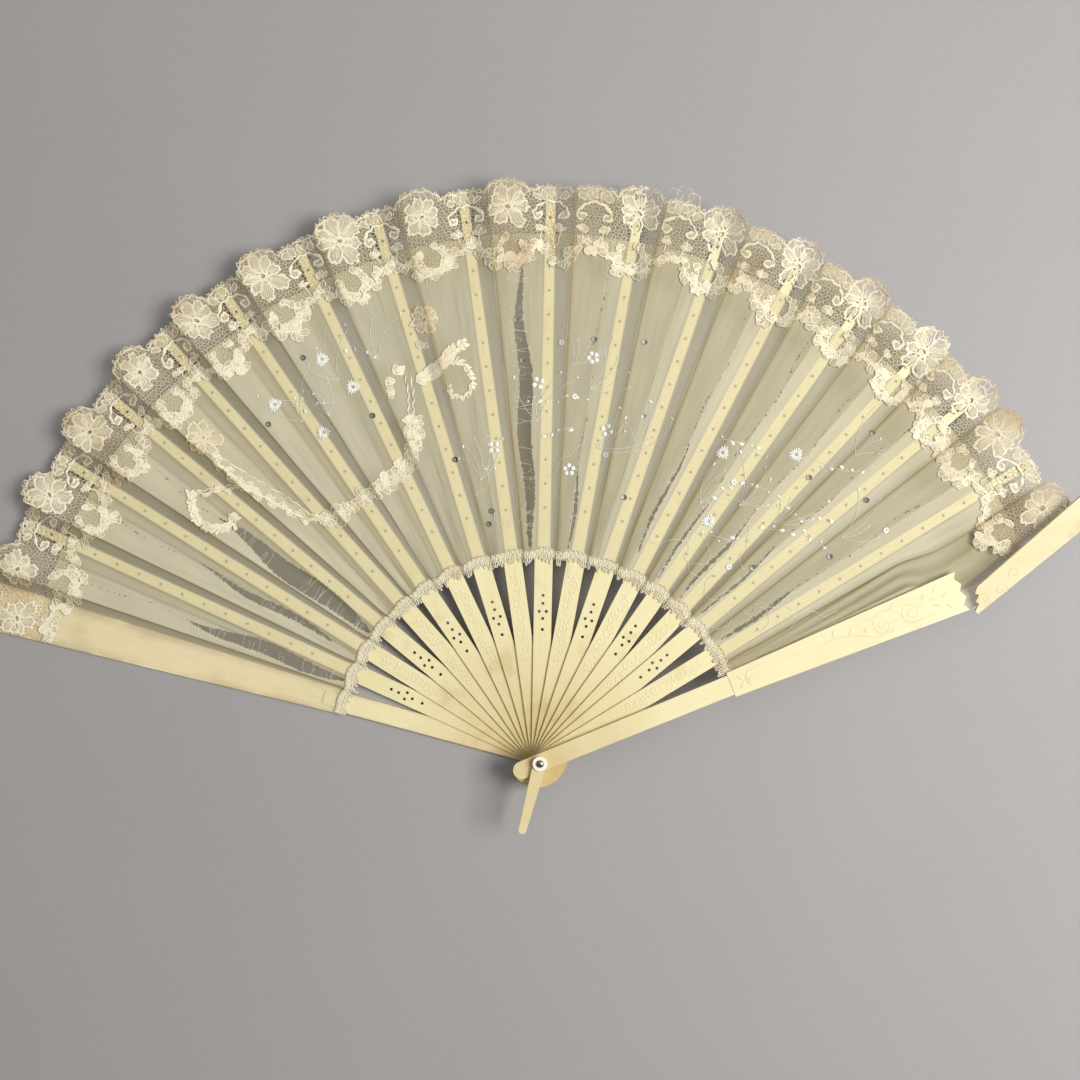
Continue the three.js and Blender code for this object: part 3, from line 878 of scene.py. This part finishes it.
class LaceEdge:
    """Edge lines of one gore's lace; s runs to the right along the rim, from the gore's middle."""

    def __init__(self, k):
        self.gore = k
        self.middle = math.degrees(ANGLES[k - 1] + ANGLES[k]) / 2
        self.half = (ANGLES[k - 1] - ANGLES[k]) / 2 * LACE_OUT_R
        self.left = -self.half - (PANEL_TIP_HALF if k == 1 else 0)
        self.right = self.half + (PANEL_TIP_HALF if k == FRONT else 0)
        self.free_flower = k not in RIB_FLOWERS
        self.left_flower = k - 1 in RIB_FLOWERS
        self.right_flower = k in RIB_FLOWERS
        self.phase = 1.7 * k
        self.aside = min(abs(self.middle - 90) / 70, 1)
        self.lobe = mix(FLOWER_LOBE, FLOWER_LOBE_SIDE, self.aside)

    def degrees(self, s):
        return self.middle - np.degrees(np.asarray(s) / LACE_OUT_R)

    def outer(self, s):
        on_rib = np.abs(s) > self.half / 2
        rib_flower = np.where(s < 0, self.left_flower, self.right_flower)
        lobe = np.where(np.where(on_rib, rib_flower, self.free_flower), self.lobe, SCROLL_LOBE)
        off = np.where(on_rib, np.abs(s) - self.half, s) / (self.half / 2)
        return NOTCH_R + lobe * np.sqrt(np.clip(1 - off ** 2, 0, 1))

    def inner(self, s):
        hang = 1 if self.free_flower else -1
        wander = (1 - (s / self.half) ** 2) * np.sin(0.45 * s + self.phase)
        return INNER_R - hang * INNER_WAVE * np.cos(math.pi * s / self.half) + 1.6 * wander

    def at(self, s, r):
        return polar(self.degrees(s), r)


def add_net(threads, edge):
    """Honeycomb ground, left open where a flower covers a rib, and a thin veil on it between the ribs."""
    a, b = hex_net(edge.left, edge.right, INNER_R - INNER_WAVE - 1, NOTCH_R + FLOWER_LOBE_SIDE)
    s, r = ((a + b) / 2).T
    inside = (s > edge.left) & (s < edge.right) & (r > edge.inner(s)) & (r < edge.outer(s))
    under_flower = np.where(s < 0, edge.left_flower, edge.right_flower)
    inside &= (np.abs(s) < edge.half - RIB_HALF) | ~under_flower
    threads.segments(edge.at(*a[inside].T), edge.at(*b[inside].T), NET_WIDTH, slot=2)
    clear_left = PANEL_TIP_HALF if edge.gore == 1 else RIB_HALF + VEIL_MARGIN
    clear_right = PANEL_TIP_HALF if edge.gore == FRONT else RIB_HALF + VEIL_MARGIN
    s = np.linspace(clear_left - edge.half, edge.half - clear_right, 60)
    threads.band(edge.at(s, edge.inner(s) + 1), edge.at(s, edge.outer(s) - RIM_INSET), slot=3, lift=-0.05)


def add_borders(threads, edge):
    """Corded rim with picots and bars, and a garland with a fringe along the inner edge."""
    s = np.linspace(edge.left, edge.right, 160)
    threads.ribbon(edge.at(s, edge.outer(s) - RIM_INSET), 0.7, CORD_CROWN, lift=0.1)
    threads.ribbon(edge.at(s, edge.outer(s) - 0.4 + 0.7 * np.sin(PICOTS * s)), 0.42, crown=0.2, lift=0.1)
    garland(threads, edge.at(s, edge.inner(s) + GARLAND_INSET))
    for x in np.arange(edge.left + 1, edge.right, BAR_STEP):
        rim = float(edge.outer(x))
        bar = [(x, rim - RIM_INSET), (x + chance.uniform(-1.5, 1.5), rim - BAR_DEPTH)]
        threads.ribbon(edge.at(*np.transpose(bar)), 0.35, lift=0.15)
    for x in np.arange(edge.left + 1, edge.right, FRINGE_STEP):
        low = float(edge.inner(x))
        fringe = [(x, low + GARLAND_INSET), (x + chance.uniform(-1, 1), low - chance.uniform(0, 2))]
        threads.ribbon(edge.at(*np.transpose(fringe)), 0.25, lift=0.15)


def add_flower(threads, edge, s):
    """Flower at the rim with a wreath below it."""
    size = chance.uniform(0.8, 1.06)
    flower_r = mix(FLOWER_R, FLOWER_R_SIDE, edge.aside)
    lace_flower(threads, Spot(edge.degrees(s), flower_r, chance.uniform(-25, 25), size))
    lace_wreath(threads, Spot(edge.degrees(s + chance.uniform(-2, 2)), WREATH_R, chance.uniform(-30, 30)))


def frayed_curl(threads, edge, s):
    """Loops of cord that have come undone at the rim."""
    t = np.linspace(0, 5, 8)
    for aside, size in ((-6, 3.2), (-1.5, 4), (3.5, 3)):
        start = float(edge.outer(s + aside))
        loop = edge.at(s + aside + size * np.sin(t), start - 1 + size * (1 - np.cos(t)))
        threads.ribbon(smooth(loop), FRAYED_WIDTH, crown=0.12, lift=0.1)


def add_scrolls(threads, edge, s):
    """Scrolls at the rim with two leafy twigs below them; in one gore the rim is frayed."""
    lace_scrolls(threads, Spot(edge.degrees(s), SCROLL_R))
    if edge.gore == FRAYED_GORE:
        frayed_curl(threads, edge, s)
    for side in (-1, 1):
        twig = edge.at(s + side * TWIG[:, 0], TWIG[:, 1])
        threads.ribbon(smooth(twig), 0.5, crown=0.25, lift=0.15)
        leaf_cluster(threads, twig[2], math.radians(edge.middle), 3.0, leaves=3)


def on_leaf(xy, _slots):
    r = np.hypot(xy[:, 0], xy[:, 1])
    angle = np.arctan2(xy[:, 1], xy[:, 0])
    left, right = leaf_bounds(r)
    return (angle < left) & (angle > right)


def on_lace(xy, slots):
    """The lace ends with the leaf, and its fills stay off the ribs under the flowers, which show bright."""
    turns = np.array([ANGLES[i] for i in RIB_FLOWERS])
    angle = np.arctan2(xy[:, 1], xy[:, 0])
    aside = np.abs(angle[:, None] - turns).min(1) * np.hypot(xy[:, 0], xy[:, 1])
    return on_leaf(xy, slots) & ((aside > RIB_HALF + VEIL_MARGIN) | (slots != 1))


def lace_panel(k):
    edge = LaceEdge(k)
    threads = Threads()
    add_net(threads, edge)
    add_borders(threads, edge)
    motifs = [(0, edge.free_flower)]
    if k > 1:
        motifs.append((-edge.half, edge.left_flower))
    for s, flower in motifs:
        if flower:
            add_flower(threads, edge, s)
        else:
            add_scrolls(threads, edge, s)
    if k == 1:
        lace_flower(threads, Spot(*REAR_FLOWER))
    looks = [LACE, LACE_FILL, LACE_NET, LACE_VEIL]
    shade = LACE_SHADE_RIGHT if k >= RIB_FLOWERS[0] else LACE_SHADE
    obj = threads.mesh("lace_edge_%02d" % k, looks, LACE_LIFT, on_lace, k, LACE_WAVER, shade)
    bend_with_gore(obj, k)
    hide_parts("lace_%02d" % k)
    return obj


# Braid along the leaf's inner edge: two cords with a winding thread between them and a row of picots

BRAID_R = 104
BRAID_HALF = 1.7
BRAID_SAG = 1.5
BRAID_WANDER = 0.25
BRAID_LIFT = TRIM_LIFT + 0.1
WINDING = 2.6
PICOT_PITCH = 1.25
PICOT_HALF = 0.5
PICOTS_LEFT = 0.8


def braid_strip(k):
    threads = Threads()
    ends = leaf_bounds(np.array(float(BRAID_R)))
    left = ends[0] if k == 1 else ANGLES[k - 1]
    right = ends[1] if k == FRONT else ANGLES[k]

    def at(angle, offset):
        t = (ANGLES[k - 1] - angle) / (ANGLES[k - 1] - ANGLES[k])
        r = BRAID_R + offset - BRAID_SAG * np.sin(math.pi * np.clip(t, 0, 1)) ** 2
        return np.stack([r * np.cos(angle), r * np.sin(angle)], -1)

    angles = np.linspace(left, right, 90)
    wander = BRAID_WANDER * np.sin(60 * angles + k)
    winding = wander + BRAID_HALF * np.sin(angles * BRAID_R * WINDING)
    threads.ribbon(at(angles, wander), 1.4 * BRAID_HALF)
    threads.ribbon(at(angles, BRAID_HALF + wander), 0.55, 0.4, slot=1)
    threads.ribbon(at(angles, wander - BRAID_HALF), 0.6, 0.4)
    threads.ribbon(at(angles, winding), 0.45, 0.3, lift=0.15)
    bend = np.linspace(math.pi, 2 * math.pi, 8)
    for i in range(round((left - right) * BRAID_R / PICOT_PITCH)):
        if chance.random() < PICOTS_LEFT:
            reach = chance.uniform(1.4, 4.2)
            slant = chance.uniform(-0.5, 0.5) * np.sin(bend)
            turns = left - (i + 0.5) * PICOT_PITCH / BRAID_R + (PICOT_HALF * np.cos(bend) + slant) / BRAID_R
            threads.ribbon(at(turns, reach * np.sin(bend) - BRAID_HALF), 0.45, 0.25)
    obj = threads.mesh("inner_braid_%02d" % k, [BRAID, OLD_BRAID], BRAID_LIFT, on_leaf)
    bend_with_gore(obj, k)
    return obj


# Applique swag of old lace on the left half

# Lines of the swag in degrees and millimetres: the netted band, the twin stems, the hook and its upper line
BAND = [(136.6, 222), (136.3, 214), (135.8, 199), (134.6, 183), (133.4, 169), (132.4, 163)]
STEMS = [(110.6, 178), (109.7, 186), (108.9, 194), (108.6, 202)]
HOOK = [(141.3, 198), (141.5, 193), (142.9, 194), (144.3, 199), (144.7, 206), (143.9, 212), (142.1, 219)]
HOOK_TOP = [(142.1, 218), (139.9, 211), (137, 202), (135.4, 192)]
# A scroll leaf right of the stems, and the curl below it
SCROLL_LEAF = [(107.9, 197), (105.7, 199), (103.7, 202), (101.7, 207), (99.8, 210)]
CURL = [(104, 201), (102.6, 202), (100.9, 201), (99.8, 195), (99.9, 188), (101.4, 184), (103.2, 186),
        (103.2, 190)]
BAND_HALF = 2.8
STEM_HALF = 1.2
# Rosettes between the band and the stems: degrees, radius, size
ROSETTES = [(131.2, 159.5, 3.6), (128.4, 157, 4.6), (126, 156.5, 3.2), (123.6, 157, 4), (121.2, 156.5, 3.2),
            (118.8, 157, 4.2), (116.6, 157.8, 3.6), (115, 160, 4), (113.4, 159.5, 3), (112.8, 163.5, 3.6),
            (111.6, 167, 3.4), (110.4, 172, 3.6), (111.4, 175, 3), (109.8, 178.5, 3.2), (110.8, 181, 2.6)]
ROSETTE_SCALE = 1.2
# Stained flowers and the leaves about the stems: degrees, radius, turn, size
STAINED_FLOWERS = [(135.9, 231, 15, 0.78), (104.3, 225, -10, 0.66)]
STEM_LEAVES = [(109.6, 203, 1.9, 4.5), (110.8, 200, 2.6, 4), (111.2, 196, 3.4, 4.5), (105.6, 212, 1.4, 4)]

applique = {k: Threads() for k in GORES}
stained = {k: Threads() for k in GORES}


def on_gores(works, path):
    """The line cut where it passes from one gore to the next."""
    gores = np.array([gore_at(math.degrees(math.atan2(y, x))) for x, y in path])
    for k in sorted(set(gores)):
        run = np.flatnonzero(gores == k)
        line = path[max(run[0] - 1, 0):run[-1] + 1]
        if len(line) > 1:
            yield works[k], line


def through(route):
    """Curve through places in degrees and millimetres."""
    return smooth([polar(d, r) for d, r in route], 10)


def beside(line, offset):
    ahead = np.gradient(line, axis=0)
    side = np.stack([-ahead[:, 1], ahead[:, 0]], 1) / np.hypot(ahead[:, 0], ahead[:, 1])[:, None]
    return line + offset * side


def add_applique():
    band = through(BAND)
    swell = BAND_HALF * np.sin(np.linspace(0.1, math.pi - 0.1, len(band)))[:, None]
    for threads, line in on_gores(applique, band):
        threads.ribbon(line, 1.5 * BAND_HALF, slot=1, lift=0.02)
    for threads, line in on_gores(applique, beside(band, swell)):
        threads.cord(line, 0.7)
    for threads, line in on_gores(applique, beside(band, -swell)):
        garland(threads, line, spacing=4.2, leaf=3.0)
    for threads, line in on_gores(applique, through(STEMS)):
        for offset in (-STEM_HALF, STEM_HALF):
            threads.cord(beside(line, offset), 0.6)
    for threads, line in on_gores(applique, through(HOOK)):
        leafy_spine(threads, line, 4.4, 3.4)
    for threads, line in on_gores(applique, through(HOOK_TOP)):
        threads.cord(line, 0.7)
        garland(threads, beside(line, -1.5), spacing=4.5, leaf=2.6)
    for route, first, last in ((SCROLL_LEAF, 6, 3.6), (CURL, 3.2, 2)):
        for threads, line in on_gores(applique, through(route)):
            leafy_spine(threads, line, first, last)
    for degrees, r, size in ROSETTES:
        rosette(applique[gore_at(degrees)], polar(degrees, r), ROSETTE_SCALE * size)
    for degrees, r, turn, size in STEM_LEAVES:
        leaf_cluster(applique[gore_at(degrees)], polar(degrees, r), turn, size, leaves=3, spread=0.5)
    for place in STAINED_FLOWERS:
        spot = Spot(*place)
        lace_flower(stained[spot.gore], spot)


# Embroidery: daisies, small blossoms, sprays of stems with seed stitches, and sequins

DAISIES = [(118.1, 226), (116.2, 207), (123.1, 195), (126.3, 220), (54.7, 145), (50, 197), (59.2, 177)]
DAISY_PETALS = 14
BLOSSOMS = [(89.9, 187), (82.2, 201), (78.3, 167), (84, 145), (98, 157)]
SEQUINS = [(92.7, 218), (92.1, 198), (86.7, 207), (82.3, 210), (84.2, 181), (77.6, 155), (105.3, 155),
           (120, 231), (73, 178), (75.7, 213), (55, 168), (72, 137), (45.6, 134), (42.2, 142), (101.8, 120),
           (35.1, 175), (33.6, 205), (46.3, 193), (44.5, 230), (100.5, 126), (128.5, 214), (115.5, 190),
           (38.5, 206)]
SEQUIN_R = 1.4
# About one sequin in five is white
SEQUIN_SLOTS = (2, 2, 2, 2, 0)
# Sprays: where the stems start, which way they lean, and how many there are
SPRAYS = [(121, 200, -15, 6), (117.5, 213, 20, 4), (111.5, 214, 10, 3), (124.6, 205, 15, 4),
          (101.5, 142, -25, 5), (90, 168, 15, 5), (82, 186, -70, 4), (79.5, 158, -75, 5), (85, 196, -40, 4),
          (58, 150, 0, 5), (52, 160, -20, 5), (45.5, 165, -30, 5), (36.5, 185, -25, 4), (44, 216, 10, 3),
          (72.5, 160, -20, 3)]
# Sprigs: curved stems through three or four places, with oval stitches beside them
SPRIGS = [[(115.7, 222), (113.5, 220), (111.2, 216)], [(124.5, 214), (121.5, 208), (119.5, 205)],
          [(100.8, 150), (99.2, 146), (98.2, 150)], [(92, 176), (88.6, 178), (85, 181), (82.4, 178)],
          [(90, 160), (87, 163), (84, 166)], [(57.5, 156), (54.5, 166), (50.5, 174), (47, 176)],
          [(61, 182), (57, 186), (52.5, 186)], [(50, 164), (46.5, 172), (42.5, 176), (39, 186)],
          [(46.5, 158), (41.5, 170), (36.5, 176)], [(55.5, 137), (51, 142), (47, 146)],
          [(47, 202), (44, 206), (42, 213)]]
SPRIG_SPACING = 4.6
SPRIG_REACH = 2.2
STEM_WIDTH = 0.2
SPLIT_THREAD_WIDTH = 0.12
SPLIT_THREAD_SPACING = 4
# Places in degrees and millimetres where ends of silk have come loose
LOOSE_ENDS = [(63, 122), (57, 134), (53, 117), (47, 126), (43, 138), (39, 118), (36, 131), (31, 124),
              (28, 140), (96, 150), (92.5, 128), (88, 140)]
LOOSE_STEPS = 7
LOOSE_STEP = 4

embroidery = {k: Threads() for k in GORES}


def daisy(spot):
    for i in range(DAISY_PETALS):
        turn = 2 * math.pi * i / DAISY_PETALS
        outline = petal((0, 0), turn, 2.7 + 0.5 * math.sin(5 * i), 0.85, foot=0.7, steps=8)
        embroidery[spot.gore].patch(spot.at(outline), lift=0.05, crown=0.25)


def blossom(spot, petals):
    for i in range(petals):
        turn = 2 * math.pi * (i + 0.3) / petals
        outline = petal((0, 0), turn, 2.3, 2.2, foot=0.9, steps=12)
        embroidery[spot.gore].patch(spot.at(outline), lift=0.05, crown=0.45)


def oval_stitch(point, turn, size):
    """Small padded stitch."""
    k = gore_at(math.degrees(math.atan2(point[1], point[0])))
    embroidery[k].patch(petal(point, turn, size, 0.6 * size, steps=10), lift=0.06, crown=0.25)


def stem_line(path):
    for threads, line in on_gores(embroidery, path):
        threads.ribbon(line, STEM_WIDTH, crown=0.08, slot=1, lift=0.04)


def spray(degrees, r, lean, stems):
    """Plume of fine stems that all bend the same way, some with a seed stitch at the end."""
    spot = Spot(degrees, r)
    bend = math.copysign(0.7, lean)
    for i in range(stems):
        turn = math.radians(lean) + mix(-0.6, 0.6, i / (stems - 1))
        step = chance.uniform(3, 7.5)
        u, v = 0, 0
        points = [(u, v)]
        for share in (0.1, 0.4, 0.75, 1):
            heading = turn - bend * share
            u -= step * math.sin(heading)
            v += step * math.cos(heading)
            points.append((u, v))
        path = smooth(spot.at(points))
        stem_line(path)
        if chance.random() < 0.7:
            oval_stitch(path[-1], chance.uniform(0, 6), chance.choice((1.0, 1.3, 1.8)))


def sprig(route):
    """Stem with oval stitches scattered beside it."""
    path = through(route)
    stem_line(path)
    for point, turn, _ in along_line(path, SPRIG_SPACING):
        reach = chance.uniform(-SPRIG_REACH, SPRIG_REACH)
        beside_stem = point + reach * np.array([-math.sin(turn), math.cos(turn)])
        oval_stitch(beside_stem, turn + chance.uniform(-1.2, 1.2), chance.choice((1.4, 2.0, 2.6)))


def sequin(spot):
    outline = spot.at(circle((0, 0), SEQUIN_R, 14))
    embroidery[spot.gore].patch(outline, chance.choice(SEQUIN_SLOTS), lift=0.2, crown=-0.1, hole=0.3)


def split_threads(gore, offset, half, low, high):
    """Broken silk across a split."""
    middle = math.degrees(ANGLES[gore]) + offset
    reach = half + 0.3
    for _ in range(int((high - low) / SPLIT_THREAD_SPACING)):
        r = chance.uniform(low + 4, high - 4)
        slant = chance.uniform(-2, 2)
        line = [(middle + reach, r),
                (middle + chance.uniform(-0.2, 0.2), r + slant / 2 + chance.uniform(-1, 1)),
                (middle - reach * chance.uniform(-0.3, 1), r + slant)]
        path = smooth([polar(d, q) for d, q in line], 5)
        embroidery[gore].ribbon(path, SPLIT_THREAD_WIDTH, slot=1, lift=-0.1)


def loose_end(degrees, r):
    """Wandering end of silk."""
    turn = chance.uniform(0, 6)
    walk = [polar(degrees, r)]
    for _ in range(LOOSE_STEPS):
        turn += chance.uniform(-1.1, 1.1)
        walk.append(walk[-1] + LOOSE_STEP * np.array([math.cos(turn), math.sin(turn)]))
    stem_line(smooth(walk))


def add_embroidery():
    for place in DAISIES:
        daisy(Spot(*place))
    for i, (degrees, r) in enumerate(BLOSSOMS):
        blossom(Spot(degrees, r, turn=25 * i), 4 + i % 2)
    for place in SPRAYS:
        spray(*place)
    for route in SPRIGS:
        sprig(route)
    for place in SEQUINS:
        sequin(Spot(*place))
    for split in SPLITS:
        split_threads(*split)
    for place in LOOSE_ENDS:
        loose_end(*place)


def trim_pieces(name, works, materials, waver=0.0, shade=0.8):
    """One piece for each gore that has any of this work."""
    pieces = {}
    for k, threads in works.items():
        if threads.count:
            pieces[k] = threads.mesh("%s_%02d" % (name, k), materials, TRIM_LIFT, on_leaf, k, waver, shade)
            bend_with_gore(pieces[k], k)
    return pieces


gauze_panels = {k: gauze_panel(k) for k in GORES}
lace_panels = {k: lace_panel(k) for k in GORES}
braid_strips = {k: braid_strip(k) for k in GORES}
add_applique()
add_embroidery()
applique_pieces = trim_pieces("applique", applique, [LACE, LACE_FILL], LACE_WAVER)
stained_pieces = trim_pieces("stained_flower", stained, [OLD_LACE, LACE_FILL], LACE_WAVER)
embroidery_pieces = trim_pieces("embroidery", embroidery, [SILK, STEM, SEQUIN], shade=0.2)

for k in GORES:
    panel, (inner_length, outer_length) = gauze_panels[k]


# Work on the bone: dark discs painted as shade in the small holes of the ribs, carved scrolls on every
# second blade, engraved front guard

DOT_FIRST_R = 125.5
DOT_STEP = 11.9
DOT_R = 0.75
DOT_END_GAP = 4
SCROLL_RADII = np.arange(52, 96, 7.4)
CARVE_WIDTH = 0.85
CARVE_HEIGHT = 0.14
TIP_CARVE_WIDTH = 0.6
TIP_CARVE_HEIGHT = 0.08
# Engraving on the front guard's panel, as distances along its axis and to its left
ENGRAVED_STEM = [(147, 0.8), (158, 1.4), (169, -1.6), (178, -5.4), (186, -4.6)]
ENGRAVED_BRIDGE = [(176, 3.8), (184, 5.2), (191, 2.2), (194, -4.6), (201, -5.4)]
# Spirals: place, size and hand; leaves: place and turn
ENGRAVED_SPIRALS = [(181.5, -0.9, 5, 1), (197, -0.2, 5.4, -1)]
ENGRAVED_LEAVES = [(203, 3, 0.6), (207, 2, 0.1), (208, -1, -0.4), (210, 4, 0.9), (213, 0.5, 0.3),
                   (214, -3, -0.7), (156, 2.4, 0.9), (164, 0.6, 0.7), (171, -1.5, 0.6), (187, 5, 0.5)]
ENGRAVED_LEAVES += [(108.7, -0.3, turn) for turn in (0, 0.8, -0.8, 2.4, -2.4)]
# Spirals on the broken tip: degrees, radius and hand
TIP_SPIRALS = [(20.1, 232.5, -1), (20.4, 241.6, 1), (21.6, 250.4, -1)]


def face_height(node):
    """Height of the plane in which a solid's largest upper face lies; the broken tip's is tilted."""
    upper = [face for face in bpy.data.objects[node].data.polygons if face.normal.z > 0]
    face = max(upper, key=lambda face: face.area)
    normal = face.normal
    centre = face.center / MM
    return lambda x, y: centre.z - ((x - centre.x) * normal.x + (y - centre.y) * normal.y) / normal.z


def spiral(centre, size, turns, start, hand):
    t = np.linspace(0, 1, 26)
    angle = start + hand * 2 * math.pi * turns * t
    reach = size * (1 - 0.85 * t)
    return np.column_stack([centre[0] + reach * np.cos(angle), centre[1] + reach * np.sin(angle)])


def bone_work(name, threads, node, body, material):
    obj = threads.mesh(name, [material], 0.0, height=face_height(node))
    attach(obj, body)


def rib_dots(k):
    threads = Threads()
    # Each dot is a dark disc painted as the shade in a small hole of the rib
    for r in np.arange(DOT_FIRST_R, RIB_TIP_R - DOT_END_GAP, DOT_STEP):
        centre = polar(math.degrees(ANGLES[k]), r)
        threads.patch(circle(centre, DOT_R, 10), lift=0.02, crown=0.04)
    bone_work("rib_dots_%02d" % k, threads, "stick_%02d" % k, BODIES[k], HOLE_PAINTED_SHADE)


def carved_scrolls(k):
    threads = Threads()
    for i, r in enumerate(SCROLL_RADII):
        spot = Spot(math.degrees(ANGLES[k]), r)
        hand = 1 if i % 2 else -1
        scroll = spiral((0.6 * hand, 0), 2.6, 1.3, -1.2 * hand, hand)
        threads.ribbon(spot.at(scroll), CARVE_WIDTH, CARVE_HEIGHT)
        for lean in (-0.7, 0.7):
            outline = petal((-0.8 * hand, 2.2), math.pi / 2 + lean, 3.0, 1.1, steps=10)
            threads.patch(spot.at(outline), crown=CARVE_HEIGHT)
    bone_work("carved_scrolls_%02d" % k, threads, "stick_%02d" % k, BODIES[k], CARVED_PAINTED_SHADE)


def guard_engraving():
    threads = Threads()
    along = Spot(math.degrees(ANGLES[FRONT]), 0, turn=90)
    for line in (ENGRAVED_STEM, ENGRAVED_BRIDGE):
        threads.ribbon(along.at(smooth(line)), CARVE_WIDTH, CARVE_HEIGHT)
    for x, y, size, hand in ENGRAVED_SPIRALS:
        threads.ribbon(along.at(spiral((x, y), size, 1.7, 1.5 * hand, hand)), CARVE_WIDTH, CARVE_HEIGHT)
    for x, y, turn in ENGRAVED_LEAVES:
        threads.patch(along.at(petal((x, y), turn, 4.6, 1.7, steps=12)), crown=CARVE_HEIGHT)
    bone_work("guard_engraving", threads, "front_guard_panel", BODIES[FRONT], CARVED_PAINTED_SHADE)


def tip_engraving():
    threads = Threads()
    for degrees, r, hand in TIP_SPIRALS:
        scroll = spiral((0, 0), 3.6, 1.2, 0.8 * hand, hand)
        threads.ribbon(Spot(degrees, r).at(scroll), TIP_CARVE_WIDTH, TIP_CARVE_HEIGHT)
    bone_work("tip_engraving", threads, "front_guard_tip", BODIES[FRONT], TIP_CARVING_PAINTED_SHADE)


for k in STICKS:
    rib_dots(k)
    if k % 2 == 0:
        carved_scrolls(k)
guard_engraving()
tip_engraving()


# Floor, light and camera

FLOOR_SIZE = 6.0
FLOOR_GAP = 0.3
FAN_MIDDLE = (0, 0.12, 0)
IMAGE_PIXELS = 1080
FOCAL_PIXELS = 1473
SENSOR_WIDTH = 36
CAMERA_PLACE = (-0.0036, 0.1338, 0.74)
CAMERA_TURNS = (-1.91, -0.35, -0.34)


def add_floor(size):
    half = size / 2
    corner_points = [(-half, -half, 0), (half, -half, 0), (half, half, 0), (-half, half, 0)]
    mesh = bpy.data.meshes.new("floor")
    mesh.from_pydata(corner_points, [], [(0, 1, 2, 3)])
    look = Look("table", 0.6)
    cloth = look.blend(look.noise(9.0, 3.0), (0.31, 0.295, 0.29), (0.36, 0.345, 0.34))
    look.paint(Base_Color=look.blend(look.noise(300.0), cloth, (0.36, 0.345, 0.335)))
    mesh.materials.append(look.material)
    floor = bpy.data.objects.new("floor", mesh)
    floor.location.z = cad_box[0][2] - FLOOR_GAP * MM
    bpy.context.scene.collection.objects.link(floor)


def area_light(name, place, target, size, power):
    lamp = bpy.data.lights.new(name, "AREA")
    lamp.size = size
    lamp.energy = power
    obj = bpy.data.objects.new(name, lamp)
    obj.location = place
    obj.rotation_euler = (Vector(target) - Vector(place)).to_track_quat("-Z", "Y").to_euler()
    bpy.context.scene.collection.objects.link(obj)


add_floor(FLOOR_SIZE)
area_light("key", (1.2, 0.12, 1.35), FAN_MIDDLE, 0.9, 36)
area_light("fill", (0.2, 0.9, 1.7), FAN_MIDDLE, 2.0, 8)
world = bpy.data.worlds.new("world")
world.use_nodes = True
world.node_tree.nodes["Background"].inputs["Color"].default_value = (1, 0.99, 0.97, 1)
world.node_tree.nodes["Background"].inputs["Strength"].default_value = 0.19
bpy.context.scene.world = world

camera_data = bpy.data.cameras.new("camera")
camera_data.sensor_width = SENSOR_WIDTH
camera_data.lens = SENSOR_WIDTH * FOCAL_PIXELS / IMAGE_PIXELS
camera = bpy.data.objects.new("camera", camera_data)
camera.location = CAMERA_PLACE
camera.rotation_euler = [math.radians(a) for a in CAMERA_TURNS]
bpy.context.scene.collection.objects.link(camera)
bpy.context.scene.camera = camera
bpy.context.scene.view_settings.view_transform = "Standard"
